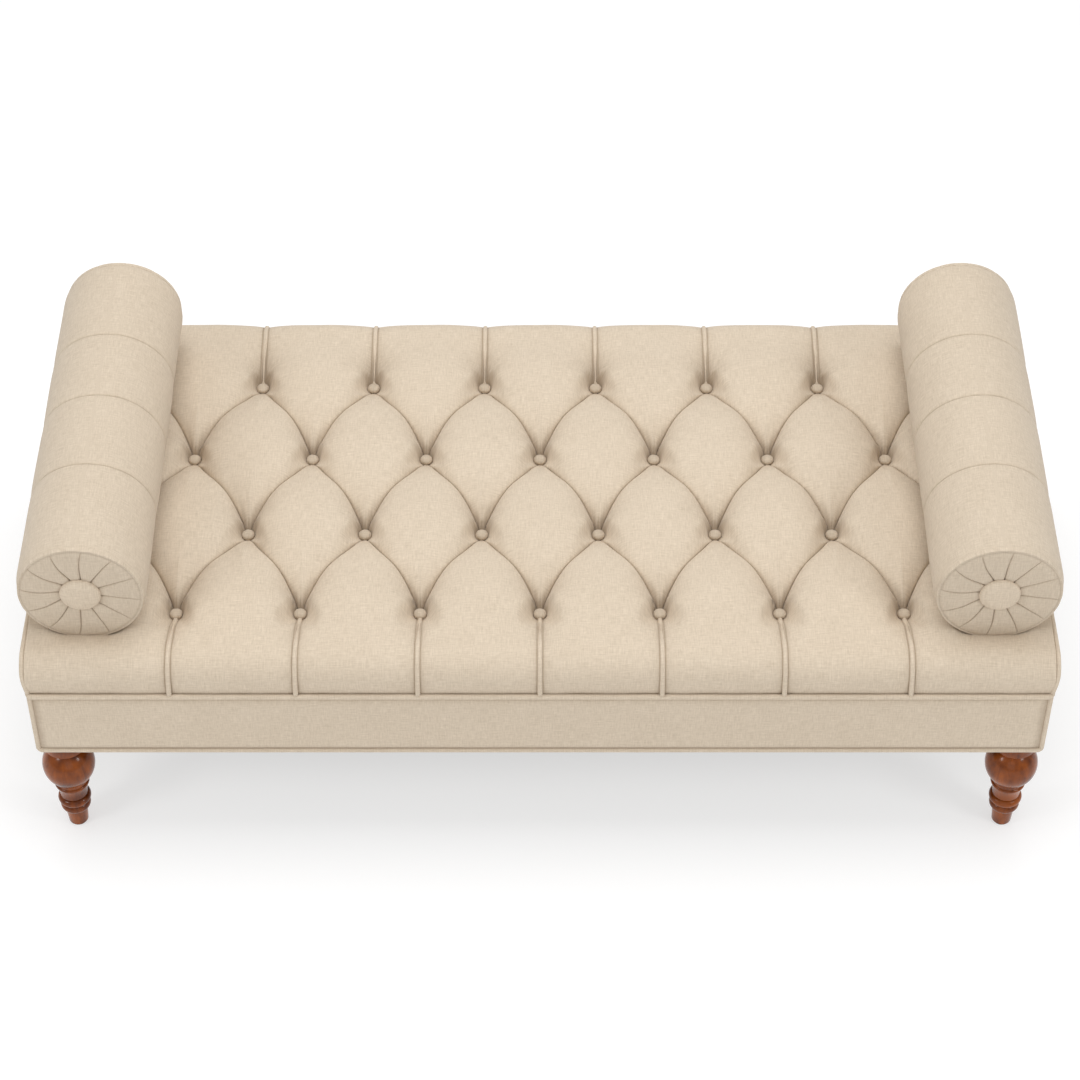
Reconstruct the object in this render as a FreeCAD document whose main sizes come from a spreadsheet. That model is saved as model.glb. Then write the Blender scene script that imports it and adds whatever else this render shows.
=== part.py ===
import FreeCAD
import Part
import math
import os
import re
from types import SimpleNamespace

import Sketcher

# Upholstered bench: a framed seat with a diamond-tufted cushion, two loose
# bolsters and four turned legs. Millimetres, +Z up, length along X, front
# towards -Y. The origin lies on the floor under the middle of the bench.

doc = FreeCAD.newDocument("UpholsteredBench")
V = FreeCAD.Vector
sizes = doc.addObject("Spreadsheet::Sheet", "Sizes")

driving = {
    # body: faces of the upholstered rail panels
    "bodyLength": 1412,
    "bodyDepth": 730,
    "legHeight": 188,
    "railPanel": 117,
    "bandThick": 4,
    "weltThick": 8,
    "lowerWeltThick": 7,
    "weltCorner": 8,
    "cornerWeltThick": 7,
    # wooden frame
    "railThick": 28,
    "railLift": 2,
    "deckThick": 12,
    "postSide": 72,
    "postRound": 6,
    "crossRailHeight": 80,
    "crossRailPlace": 210,
    "dowelThick": 10,
    "dowelLong": 60,
    "dustCoverThick": 1,
    # buttons of the seat
    "buttonPitch": 168,
    "endButtonShift": 6,
    "rowPitch": 155.5,
    "buttonWide": 18.5,
    "buttonBase": 3,
    "buttonDome": 5,
    "buttonLift": 19,
    "buttonRoom": 0.35,
    # seat cushion; lifts are heights above the deck
    "crestLift": 65,
    "edgeLift": 56,
    "seatRoll": 40,
    "foldRise": 39,
    "creaseWide": 1.4,
    "channelDeep": 6,
    "channelWeltThick": 5.6,
    "foamThick": 16,
    "coverWall": 11,
    "endWeltThick": 7,
    "endPanelThick": 4,
    "endPanelCrown": 3.5,
    # bolsters
    "bolsterSideInset": 65,
    "bolsterEndInset": 81,
    "bolsterWide": 176,
    "bolsterLift": 51,
    "bolsterFlat": 79,
    "bolsterSeamDeep": 6,
    "bolsterFirstSeam": 168,
    "bolsterSeamShift": 8,
    "bolsterLastSeam": 163,
    "bolsterWall": 17,
    "bolsterEndThick": 8,
    "bolsterEndRim": 2.6,
    "bolsterEndDish": 5,
    "bolsterPleatDeep": 3,
    "bolsterPleats": 12,
    "bolsterButtonWide": 56,
    "bolsterButtonBase": 3,
    "bolsterButtonDome": 9,
    "restGap": 0.4,
    # tuft twine and its washers under the deck
    "twineThick": 2,
    "twineRoom": 0.7,
    "washerWide": 20,
    "washerThick": 2,
    "knotWide": 6,
    # turned legs
    "legInset": 33,
    "legSideInset": 32,
    "glideThick": 3,
    "glideWide": 24,
    "footWide": 28,
    "ankleWide": 32,
    "ankleHeight": 31,
    "lowRingHeight": 40,
    "lowRingWide": 43.4,
    "highRingHeight": 55,
    "highRingWide": 47.4,
    "ringHalf": 7,
    "ringNeckWide": 35,
    "neckWide": 40,
    "neckStep": 2,
    "neckCove": 64,
    "ridgeDrop": 100,
    "ridgeWide": 50,
    "ridgeHalf": 3,
    "ballNeckWide": 46,
    "ballDrop": 59,
    "ballWide": 75,
    "ballHalf": 31.5,
    "collarWide": 60,
    "collarHeight": 18,
    # leg fixings
    "plateSide": 54,
    "plateThick": 2,
    "plateRoom": 6,
    "boltThick": 8,
    "boltInLeg": 45,
    "boltInPost": 50,
    "screwThick": 4,
    "screwHeadWide": 8,
    "screwHeadThick": 2,
    "plateScrewLong": 20,
    "plateScrewPlace": 22,
    "deckScrewLong": 35,
    "railScrewLong": 70,
    # staples of the dust cover
    "stapleCrown": 10,
    "stapleWire": 0.7,
    "stapleLong": 8,
}

# Sizes that follow from the ones above, as formulas of the sheet.
derived = {
    "deckTop": "legHeight + railPanel + weltThick / 2",
    "buttonSeat": "deckTop + buttonLift",
    "seatCrest": "deckTop + crestLift",
    "seatEdge": "deckTop + edgeLift",
    "bolsterSeatHeight": "deckTop + bolsterLift",
    "bolsterLong": "bodyDepth - 2 * bolsterSideInset",
    "bolsterPlace": "bodyLength / 2 - bolsterEndInset",
    "bolsterSecondSeam": "bolsterLong / 2 + bolsterSeamShift",
    "bolsterThirdSeam": "bolsterLong - bolsterLastSeam",
    "ridgeHeight": "legHeight - ridgeDrop",
    "ballHeight": "legHeight - ballDrop",
}

cells = dict(driving, **{alias: "=" + text for alias, text in derived.items()})
for down, (alias, value) in enumerate(cells.items(), start=1):
    sizes.set("A%d" % down, alias)
    sizes.set("B%d" % down, str(value))
    sizes.setAlias("B%d" % down, alias)
doc.recompute()
S = SimpleNamespace(**{alias: float(sizes.get(alias)) for alias in cells})


def formula(text):
    """Turn plain names of sizes into cells of the sheet."""
    return re.sub(r"[A-Za-z]\w*", lambda word: "Sizes." + word[0] if word[0] in cells else word[0], text)


def number(text):
    """The value of a formula, for the first guess of a sketch."""
    return float(sizes.evalExpression(formula(text)))


# Planes that several pieces share, as formulas of the sheet.
FRAME_X = "(bodyLength / 2 - bandThick)"
FRAME_Y = "(bodyDepth / 2 - bandThick)"
RAIL_UNDER = "(legHeight + railLift)"
WELT_Z = "(legHeight + railPanel)"
BAND_TOP = "(legHeight + railPanel - weltThick / 2)"
DECK_TOP = "deckTop"
DECK_UNDER = "(deckTop - deckThick)"
BAND_FOOT = "(legHeight + lowerWeltThick)"
LEG_X = "(bodyLength / 2 - legInset)"
LEG_Y = "(bodyDepth / 2 - legSideInset)"
POST_X = "(bodyLength / 2 - bandThick - postSide)"
POST_Y = "(bodyDepth / 2 - bandThick - postSide)"
BOLSTER_Z = "(bolsterSeatHeight + bolsterFlat)"

SIDES = (("left", -1), ("right", 1))
FACES = (("front", -1), ("back", 1))
AXES = {
    "x": FreeCAD.Rotation(V(0, 1, 0), 90),
    "y": FreeCAD.Rotation(V(1, 0, 0), -90),
    "z": FreeCAD.Rotation(),
    "-y": FreeCAD.Rotation(V(1, 0, 0), 90),
}
node_names = []
spare = 0


def make(kind, label):
    """A new object; without a label it is a helper of some sub-part."""
    global spare
    if label:
        node_names.append(label)
        obj = doc.addObject(kind, label)
        obj.Label = label
        return obj
    spare += 1
    return doc.addObject(kind, "Helper%03d" % spare)


def bind(obj, **formulas):
    for name, text in formulas.items():
        obj.setExpression(name, formula(text))


def place(obj, x, y, z, turn=None):
    if turn is not None:
        obj.Placement = FreeCAD.Placement(V(0, 0, 0), turn)
    for axis, text in zip("xyz", (x, y, z)):
        obj.setExpression(".Placement.Base." + axis, formula(text))
    return obj


def block(label, low, extent):
    """A box from its low corner and its three lengths."""
    obj = make("Part::Box", label)
    bind(obj, Length=extent[0], Width=extent[1], Height=extent[2])
    return place(obj, *low)


def centred(label, extent_x, extent_y, low_z, height, x="0", y="0"):
    """A box centred on x and y."""
    low = ("%s - (%s) / 2" % (x, extent_x), "%s - (%s) / 2" % (y, extent_y), low_z)
    return block(label, low, (extent_x, extent_y, height))


def rod(label, thick, length, at, axis="z"):
    """A cylinder from its diameter and length, starting at a point."""
    obj = make("Part::Cylinder", label)
    bind(obj, Radius="(%s) / 2" % thick, Height=length)
    return place(obj, *at, turn=AXES[axis])


def gather(label, members):
    obj = make("Part::Compound", label)
    obj.Links = members
    return obj


def join(label, members):
    obj = make("Part::MultiFuse", label)
    obj.Refine = False
    obj.Shapes = members
    return obj


def cut(label, base, tool):
    obj = make("Part::Cut", label)
    obj.Refine = False
    obj.Base = base
    obj.Tool = tool
    return obj


def coded(label, shape):
    """A sub-part whose shape is worked out in code."""
    obj = make("Part::Feature", label)
    obj.Shape = shape
    return obj


def rounded(label, source, radius, wanted):
    """Round the upright edges whose middle passes the test."""
    doc.recompute()
    picked = []
    for index, edge in enumerate(source.Shape.Edges, start=1):
        box = edge.BoundBox
        if box.ZLength > 1 and box.XLength < 0.01 and box.YLength < 0.01 and wanted(box.Center):
            picked.append((index, number(radius), number(radius)))
    obj = make("Part::Fillet", label)
    obj.Base = source
    obj.Edges = picked
    return obj


def outline_sketch(body, plane, outline):
    """A closed sketch through points; an arc to the next point has a radius and a side."""
    sketch = body.newObject("Sketcher::SketchObject", "Outline")
    origin = [part for part in body.Origin.OriginFeatures if part.Role == plane][0]
    sketch.AttachmentSupport = [(origin, "")]
    sketch.MapMode = "FlatFace"
    count = len(outline)
    points = [V(number(step[0]), number(step[1]), 0) for step in outline]
    ends = []
    for index, step in enumerate(outline):
        start, stop = points[index], points[(index + 1) % count]
        if len(step) == 2:
            sketch.addGeometry(Part.LineSegment(start, stop), False)
            ends.append((1, 2))
            continue
        radius, side = number(step[2]), step[3]
        chord = stop - start
        right = V(chord.y, -chord.x, 0).normalize()
        reach = math.sqrt(max(radius ** 2 - (chord.Length / 2) ** 2, 0))
        centre = (start + stop) / 2 - right * side * reach
        turns = [math.atan2(point.y - centre.y, point.x - centre.x) for point in (start, stop)]
        circle = Part.Circle(centre, V(0, 0, 1), radius)
        sketch.addGeometry(Part.ArcOfCircle(circle, *turns[::side]), False)
        ends.append((1, 2) if side > 0 else (2, 1))
    for index, step in enumerate(outline):
        following = (index + 1) % count
        sketch.addConstraint(
            Sketcher.Constraint("Coincident", index, ends[index][1], following, ends[following][0]))
        for kind, text, axis, value in (
                ("DistanceX", step[0], -2, points[index].x),
                ("DistanceY", step[1], -1, points[index].y)):
            corner = (index, ends[index][0])
            if abs(value) < 1e-9:
                sketch.addConstraint(Sketcher.Constraint("PointOnObject", *corner, axis))
            else:
                place_at = sketch.addConstraint(Sketcher.Constraint(kind, -1, 1, *corner, value))
                sketch.setExpression("Constraints[%d]" % place_at, formula(text))
        if len(step) > 2:
            arc = sketch.addConstraint(Sketcher.Constraint("Radius", index, number(step[2])))
            sketch.setExpression("Constraints[%d]" % arc, formula(step[2]))
    return sketch


def turned(label, plane, outline):
    """A body turned about the upright axis of its sketch."""
    body = make("PartDesign::Body", label)
    sketch = outline_sketch(body, plane, outline)
    spin = body.newObject("PartDesign::Revolution", "Turning")
    spin.Profile = sketch
    spin.ReferenceAxis = (sketch, ["V_Axis"])
    spin.Angle = 360
    body.Tip = spin
    return body


def bulge_radius(length, rise):
    """Radius of an arc from its chord and rise."""
    return "(((%s) / 2) ^ 2 + (%s) ^ 2) / (2 * (%s))" % (length, rise, rise)


# Screws: a flush head on a shank, both pointing away from the surface.
def screw(x, y, z, length, axis):
    turn = "z" if axis == "-z" else axis
    start_z = "%s - screwHeadThick" % z if axis == "-z" else z
    shank_z = "%s - %s" % (z, length) if axis == "-z" else z
    head = rod(None, "screwHeadWide", "screwHeadThick", (x, y, start_z), turn)
    shank = rod(None, "screwThick", length, (x, y, shank_z), turn)
    return join(None, [head, shank])


# Wooden frame; shares of a length place its repeated fixings.
DOWEL_SHARES = (0.23, 0.69)
CROSS_SCREW_SHARES = (0.3, 0.75)
LONG_SCREW_SHARES = (-0.4, -0.2, 0, 0.2, 0.4)
SHORT_SCREW_SHARES = (-0.27, 0, 0.27)
LONG_STAPLE_SHARES = (-0.34, -0.17, 0, 0.17, 0.34)
SHORT_STAPLE_SHARES = (-0.2, 0, 0.2)


def rail_dowels():
    members = []
    heights = ["%s + railPanel * %s" % (RAIL_UNDER, share) for share in DOWEL_SHARES]
    for _, sx in SIDES:
        for _, sy in FACES:
            for z in heights:
                along_x = ("%d * %s - dowelLong / 2" % (sx, POST_X),
                           "%d * (%s - railThick / 2)" % (sy, FRAME_Y), z)
                along_y = ("%d * (%s - railThick / 2)" % (sx, FRAME_X),
                           "%d * %s - dowelLong / 2" % (sy, POST_Y), z)
                members.append(rod(None, "dowelThick", "dowelLong", along_x, "x"))
                members.append(rod(None, "dowelThick", "dowelLong", along_y, "y"))
    return gather("rail_dowels", members)


def deck_screws():
    members = []
    for _, sy in FACES:
        for share in LONG_SCREW_SHARES:
            y = "%d * (%s - railThick / 2)" % (sy, FRAME_Y)
            members.append(screw("bodyLength * %s" % share, y, DECK_TOP, "deckScrewLong", "-z"))
    for _, sx in SIDES:
        for share in SHORT_SCREW_SHARES:
            x = "%d * (%s - railThick / 2)" % (sx, FRAME_X)
            members.append(screw(x, "bodyDepth * %s" % share, DECK_TOP, "deckScrewLong", "-z"))
    return gather("deck_screws", members)


def cross_rail_screws():
    members = []
    for _, sx in SIDES:
        for _, sy in FACES:
            for share in CROSS_SCREW_SHARES:
                height = "%s - crossRailHeight * %s" % (DECK_UNDER, share)
                axis = "-y" if sy > 0 else "y"
                members.append(screw("%d * crossRailPlace" % sx, "%d * %s" % (sy, FRAME_Y),
                                     height, "railScrewLong", axis))
    return gather("cross_rail_screws", members)


def leg_bolts():
    members = []
    for _, sx in SIDES:
        for _, sy in FACES:
            at = ("%d * %s" % (sx, LEG_X), "%d * %s" % (sy, LEG_Y), "legHeight - boltInLeg")
            members.append(rod(None, "boltThick", "boltInLeg + boltInPost + railLift", at))
    return gather("leg_bolts", members)


def leg_plate_screws():
    members = []
    for _, sx in SIDES:
        for _, sy in FACES:
            for dx in (-1, 1):
                for dy in (-1, 1):
                    x = "%d * %s + %d * plateScrewPlace" % (sx, LEG_X, dx)
                    y = "%d * %s + %d * plateScrewPlace" % (sy, LEG_Y, dy)
                    members.append(screw(x, y, "legHeight", "plateScrewLong", "z"))
    return gather("leg_plate_screws", members)


def staple(x, y, along):
    """A crown below the dust cover and two legs up into the rail."""
    crown_z = "%s - dustCoverThick - stapleWire" % RAIL_UNDER
    wide, deep = ("stapleCrown", "stapleWire") if along == "x" else ("stapleWire", "stapleCrown")
    crown = centred(None, wide, deep, crown_z, "stapleWire", x, y)
    legs = []
    for side in (-1, 1):
        step = "%d * (stapleCrown - stapleWire) / 2" % side
        leg_x, leg_y = (x + " + " + step, y) if along == "x" else (x, y + " + " + step)
        legs.append(centred(None, "stapleWire", "stapleWire", crown_z, "stapleLong", leg_x, leg_y))
    return join(None, [crown] + legs)


def dust_cover_staples():
    members = []
    for _, sy in FACES:
        for share in LONG_STAPLE_SHARES:
            y = "%d * (%s - railThick / 2)" % (sy, FRAME_Y)
            members.append(staple("bodyLength * %s" % share, y, "x"))
    for _, sx in SIDES:
        for share in SHORT_STAPLE_SHARES:
            x = "%d * (%s - railThick / 2)" % (sx, FRAME_X)
            members.append(staple(x, "bodyDepth * %s" % share, "y"))
    return gather("dust_cover_staples", members)


def wooden_frame():
    dowels = rail_dowels()
    top_screws = deck_screws()
    side_screws = cross_rail_screws()
    bolts = leg_bolts()
    plate_screws = leg_plate_screws()
    staples = dust_cover_staples()
    rail_tall = "(%s - %s)" % (DECK_UNDER, RAIL_UNDER)
    holes = gather(None, [dowels, top_screws, side_screws, staples])
    for face, sy in FACES:
        y = "%d * (%s - railThick / 2)" % (sy, FRAME_Y)
        plank = centred(None, "2 * " + POST_X, "railThick", RAIL_UNDER, rail_tall, y=y)
        cut(face + "_rail", plank, holes)
    for side, sx in SIDES:
        x = "%d * (%s - railThick / 2)" % (sx, FRAME_X)
        plank = centred(None, "railThick", "2 * " + POST_Y, RAIL_UNDER, rail_tall, x=x)
        cut(side + "_end_rail", plank, holes)
    post_holes = gather(None, [dowels, bolts, plate_screws])
    for side, sx in SIDES:
        for face, sy in FACES:
            x = "%d * (%s + postSide / 2)" % (sx, POST_X)
            y = "%d * (%s + postSide / 2)" % (sy, POST_Y)
            post = centred(None, "postSide", "postSide", RAIL_UNDER, rail_tall, x, y)
            outer = rounded(None, post, "postRound", lambda at, sx=sx, sy=sy:
                            at.x * sx > number(POST_X) + 1 and at.y * sy > number(POST_Y) + 1)
            cut("corner_post_%s_%s" % (face, side), outer, post_holes)
    for side, sx in SIDES:
        inner = "2 * (%s - railThick)" % FRAME_Y
        bar = centred(None, "railThick", inner, "%s - crossRailHeight" % DECK_UNDER,
                      "crossRailHeight", x="%d * crossRailPlace" % sx)
        cut(side + "_cross_rail", bar, side_screws)
    return top_screws, bolts, plate_screws, staples


# Places of the tufting buttons
def column(index):
    """Half-spacing columns count from the middle; the outer ones stand a little further out."""
    shift = (1 if index > 0 else -1) if abs(index) >= 6 else 0
    return "(%d * buttonPitch / 2 + %d * endButtonShift)" % (index, shift)


def row(index):
    """Rows count from the back, 0 to 3."""
    return "(%s * rowPitch)" % (1.5 - index)


BUTTONS = [(index, level) for level in range(4) for index in range(-7, 8) if (index + level) % 2]


def tuft_pins(thick, low, high):
    return gather(None, [rod(None, thick, "%s - (%s)" % (high, low), (column(i), row(r), low))
                         for i, r in BUTTONS])


def cap(at, radius, rise, axis):
    """A low dome: the top slice of a sphere, standing on its seat."""
    full = "((%s) ^ 2 + (%s) ^ 2) / (2 * (%s))" % (radius, rise, rise)
    dome = make("Part::Sphere", None)
    bind(dome, Radius=full, Angle1="asin((%s - %s) / (%s))" % (full, rise, full))
    x, y, z = at
    back = "(%s) - (%s)" % (full, rise)
    if axis == "z":
        z = "%s - (%s)" % (z, back)
    else:
        y = "%s %s (%s)" % (y, "-" if axis == "y" else "+", back)
    return place(dome, x, y, z, turn=AXES[axis])


def seat_buttons():
    members = []
    for i, r in BUTTONS:
        disc = rod(None, "buttonWide", "buttonBase", (column(i), row(r), "buttonSeat"))
        dome = cap((column(i), row(r), "buttonSeat + buttonBase"), "buttonWide / 2", "buttonDome", "z")
        members.append(join(None, [disc, dome]))
    return gather("seat_buttons", members)


def tuft_twine():
    under = "(%s - washerThick)" % DECK_UNDER
    strands, washers = [], []
    holes = tuft_pins("twineThick + 2 * twineRoom", under + " - 1", "buttonSeat")
    for i, r in BUTTONS:
        knot_z = "(%s - knotWide / 2)" % under
        strand = rod(None, "twineThick", "buttonSeat - %s" % knot_z, (column(i), row(r), knot_z))
        knot = make("Part::Sphere", None)
        bind(knot, Radius="knotWide / 2")
        place(knot, column(i), row(r), knot_z)
        strands.append(join(None, [strand, knot]))
        washers.append(rod(None, "washerWide", "washerThick", (column(i), row(r), under)))
    gather("tuft_twine", strands)
    cut("twine_washers", gather(None, washers), holes)
    return holes


# Seat cushion: one ruled loft through upright slices from end to end. Each
# slice is lines and arcs: a back roll, four pillows parted by three creases,
# a front roll and a flat underside.
def bolster_limit(x):
    """How high the cushion may stand under a bolster, with room for flat strips."""
    across = abs(abs(x) - S.bolsterPlace)
    strip = S.buttonPitch / 7
    reach = S.bolsterWide / 2 + S.restGap + strip ** 2 / (4 * S.bolsterWide)
    if across >= reach:
        return math.inf
    axis = S.bolsterSeatHeight + S.bolsterFlat
    return axis - min(math.sqrt(reach ** 2 - across ** 2), S.bolsterFlat + S.restGap)


def line(first, last):
    return Part.LineSegment(first, last).toShape()


def arc(first, middle, last):
    """An arc through three points, or a line where they are in line."""
    if (middle - first).cross(last - middle).Length < 0.01 * (last - first).Length:
        return line(first, last)
    return Part.Arc(first, middle, last).toShape()


class SeatShape:
    """Heights and creases of the tufted cushion at any slice."""

    swell, tip = 2.5, 0.6
    fold_tip = 0.75
    between = (0.12, 0.35, 0.65, 0.88)
    outward = (0.15, 0.35, 0.6, 0.85, 1)
    least_rise = 3
    least_gap = 0.5
    under_limit = 1

    def __init__(self):
        self.columns = [number(column(index)) for index in range(-7, 8)]
        self.rows = [number(row(index)) for index in range(4)]
        self.half_seat = S.buttonWide / 2 + S.buttonRoom
        self.face = S.bodyDepth / 2
        self.end = S.bodyLength / 2
        self.bottom = number(DECK_TOP)
        self.roll_z = S.seatEdge - S.seatRoll
        self.roll_y = self.face - S.seatRoll

    def pillow(self, share):
        """Crest height from a button (0) to the middle of a pillow (1)."""
        full = (1 - (1 - share) ** self.swell) ** self.tip
        return S.buttonSeat + (S.seatCrest - S.buttonSeat) * full

    def fold(self, share):
        """Height of a fold from one button (0) to the next (1)."""
        if share <= 0 or share >= 1:
            return S.buttonSeat
        return S.buttonSeat + S.foldRise * math.sin(math.pi * share) ** self.fold_tip

    def stations(self):
        """Slices at every button seat, between them, and out to the ends."""
        seat = self.half_seat
        places = [middle + step for middle in self.columns for step in (-seat, 0, seat)]
        for first, last in zip(self.columns, self.columns[1:]):
            start, span = first + seat, last - first - 2 * seat
            places += [start + share * span for share in self.between]
        start = self.columns[-1] + seat
        for share in self.outward:
            out = start + share * (self.end - start)
            places += [-out, out]
        return sorted(places)

    def state(self, x):
        """Where the three creases lie and how high the pillows stand."""
        limit = bolster_limit(x)
        outside = abs(x) - self.columns[-1] - self.half_seat
        if outside > 1e-6:
            out = outside / (self.end - self.columns[-1] - self.half_seat)
            rise = math.sin(math.pi / 2 * out) ** self.fold_tip
            fold = S.buttonSeat + (S.seatEdge - S.buttonSeat) * rise
            crest = S.seatCrest - (S.seatCrest - S.seatEdge) * out ** 2
            fold = min(fold, limit - self.under_limit)
            return self.crossings(0, S.creaseWide / 2, fold, crest, crest, limit)
        index = max([0] + [i for i, at in enumerate(self.columns[:-1]) if at <= x + 1e-6])
        first, last = self.columns[index], self.columns[index + 1]
        share = (x - first - self.half_seat) / (last - first - 2 * self.half_seat)
        share = round(min(max(share, 0), 1), 9)
        along = share if index % 2 == 0 else 1 - share
        half_floor = self.half_seat if share in (0, 1) else S.creaseWide / 2
        fold = min(self.fold(share), limit - self.under_limit)
        return self.crossings(along, half_floor, fold, self.pillow(1 - along), self.pillow(along), limit)

    def crossings(self, along, half_floor, fold, inner, outer, limit):
        creases = [self.rows[0] - along * S.rowPitch,
                   self.rows[2] + along * S.rowPitch,
                   self.rows[2] - along * S.rowPitch]
        floors = [[at + half_floor, at - half_floor] for at in creases]
        gap = self.least_gap
        for upper, lower in ((0, 1), (1, 2)):
            if floors[upper][1] - floors[lower][0] < 2 * gap:
                meet = (creases[upper] + creases[lower]) / 2
                floors[upper] = [meet + max(half_floor, 3 * gap), meet + gap]
                floors[lower] = [meet - gap, meet - max(half_floor, 3 * gap)]
        return SimpleNamespace(floors=floors, fold=fold, inner=inner, outer=outer, limit=limit)

    def channel(self, start_y, start_z, side, proud=0):
        """Points of a channel from a button seat, over the roll, down the face."""
        radius = S.seatRoll - S.channelDeep
        centre = V(0, side * self.roll_y, self.roll_z)
        over, up = abs(centre.y - start_y), centre.z - start_z
        slope = math.atan2(up, over) + math.asin(radius / math.hypot(over, up))
        rest = V(0, -side * math.sin(slope), math.cos(slope))
        middle = (math.pi / 2 - slope) / 2
        lean = V(0, side * math.sin(middle), math.cos(middle))
        radius += proud
        return SimpleNamespace(
            start=V(0, start_y, start_z) + rest * proud,
            tangent=centre + rest * radius,
            middle=centre + lean * radius,
            face=centre + V(0, side * radius, 0),
            foot=V(0, centre.y + side * radius, self.bottom),
            heading=V(0, side * math.cos(slope), math.sin(slope)))

    def plain_roll(self, side, top):
        """Points of the rolled edge where no channel crosses it."""
        half = math.sqrt(0.5)
        return SimpleNamespace(
            tangent=V(0, side * self.roll_y, top),
            middle=V(0, side * (self.roll_y + S.seatRoll * half),
                     self.roll_z + (top - self.roll_z) * half),
            face=V(0, side * self.face, self.roll_z),
            foot=V(0, side * self.face, self.bottom))

    def slice(self, x):
        at = self.state(x)
        on_column = [abs(x - middle) < 1e-6 for middle in self.columns]
        edge = min(S.seatEdge, at.limit - self.least_gap)
        flat_end = abs(x) > self.end - 1e-6
        edges = []

        def pillow(first, last, crest):
            mean = (first.z + last.z) / 2
            room = at.limit - mean
            top = mean + (room + math.sqrt(max(room ** 2 - (first.z - last.z) ** 2 / 4, 0))) / 2
            peak = min(max(mean + self.least_rise, crest), top)
            if flat_end or abs(first.y - last.y) < 2:
                peak = mean
            edges.append(arc(first, V(0, (first.y + last.y) / 2, peak), last))

        floors = [[V(0, y, at.fold) for y in floor] for floor in at.floors]
        if any(on_column[0::2]):
            back = self.channel(floors[0][0].y, at.fold, 1)
        else:
            back = self.plain_roll(1, edge)
        if any(on_column[1::2]):
            front = self.channel(floors[2][1].y, at.fold, -1)
        else:
            front = self.plain_roll(-1, edge)
        edges.append(line(back.foot, back.face))
        edges.append(arc(back.face, back.middle, back.tangent))
        if any(on_column[0::2]):
            edges.append(line(back.tangent, floors[0][0]))
        else:
            pillow(back.tangent, floors[0][0], at.outer)
        edges.append(line(*floors[0]))
        pillow(floors[0][1], floors[1][0], at.inner)
        edges.append(line(*floors[1]))
        pillow(floors[1][1], floors[2][0], at.outer)
        edges.append(line(*floors[2]))
        if any(on_column[1::2]):
            edges.append(line(floors[2][1], front.tangent))
        else:
            pillow(floors[2][1], front.tangent, at.inner)
        edges.append(arc(front.tangent, front.middle, front.face))
        edges.append(line(front.face, front.foot))
        edges.append(line(front.foot, back.foot))
        wire = Part.Wire(edges)
        wire.translate(V(x, 0, 0))
        return wire


def seat_cover(seat, foam, twine_holes):
    skin = coded(None, Part.makeLoft([seat.slice(x) for x in seat.stations()], True, True))
    return cut("seat_cover", cut(None, skin, foam), twine_holes)


def channel_welts(seat, label, side, start_row, parity):
    """Cords that lie in the channels from the outer buttons to the seat edge."""
    radius = S.channelWeltThick / 2
    proud = radius * math.hypot(1, S.channelDeep / seat.half_seat) + 0.05
    from_y = seat.rows[start_row] + side * seat.half_seat
    path = seat.channel(from_y, S.buttonSeat, side, proud)
    start = path.start + path.heading * 1.3 * radius
    spine = Part.Wire([line(start, path.tangent), arc(path.tangent, path.middle, path.face),
                       line(path.face, path.foot)])
    ring = Part.Wire([Part.makeCircle(radius, start, path.heading)])
    cord = spine.makePipeShell([ring], True, True)
    copies = []
    for index, x in enumerate(seat.columns):
        if index % 2 == parity:
            copy = cord.copy()
            copy.translate(V(x, 0, 0))
            copies.append(copy)
    return coded(label, Part.makeCompound(copies))


def end_outline(seat, inset, x):
    """The outline of the cushion's end, drawn in by an inset."""
    radius = S.seatRoll - inset
    foot = seat.bottom + S.restGap
    points = []
    for side in (1, -1):
        half = math.sqrt(0.5) * radius
        points.append([V(x, side * (seat.face - inset), foot),
                       V(x, side * (seat.face - inset), seat.roll_z),
                       V(x, side * (seat.roll_y + half), seat.roll_z + half),
                       V(x, side * seat.roll_y, seat.roll_z + radius)])
    back, front = points
    return Part.Wire([line(back[0], back[1]), arc(back[1], back[2], back[3]), line(back[3], front[3]),
                      arc(front[3], front[2], front[1]), line(front[1], front[0]),
                      line(front[0], back[0])])


def seat_ends(seat):
    """A crowned panel on each end of the cushion and the cord sewn round it."""
    for side, sx in SIDES:
        flat, crown = seat.end + S.endPanelThick, seat.end + S.endPanelThick + S.endPanelCrown
        wires = [end_outline(seat, S.endWeltThick, sx * seat.end),
                 end_outline(seat, S.endWeltThick, sx * flat),
                 end_outline(seat, 3 * S.endWeltThick, sx * crown)]
        coded(side + "_end_panel", Part.makeLoft(wires, True, True))
        x = "%d * (bodyLength / 2 + endWeltThick / 2)" % sx
        foot = "%s + restGap" % DECK_TOP
        roll_z = "(seatEdge - seatRoll)"
        members = [rod(None, "endWeltThick", "bodyDepth - 2 * seatRoll",
                       (x, "seatRoll - bodyDepth / 2", "seatEdge - endWeltThick / 2"), "y")]
        for _, sy in FACES:
            y = "%d * (bodyDepth / 2 - endWeltThick / 2)" % sy
            members.append(rod(None, "endWeltThick", "%s - (%s)" % (roll_z, foot), (x, y, foot)))
            bend = make("Part::Torus", None)
            bind(bend, Radius1="seatRoll - endWeltThick / 2", Radius2="endWeltThick / 2", Angle3="90")
            place(bend, x, "%d * (bodyDepth / 2 - seatRoll)" % sy, roll_z,
                  FreeCAD.Rotation(V(0, sy, 0), V(0, 0, 1), V(sy, 0, 0), "ZXY"))
            members.append(bend)
        join(side + "_end_welt", members)


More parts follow.
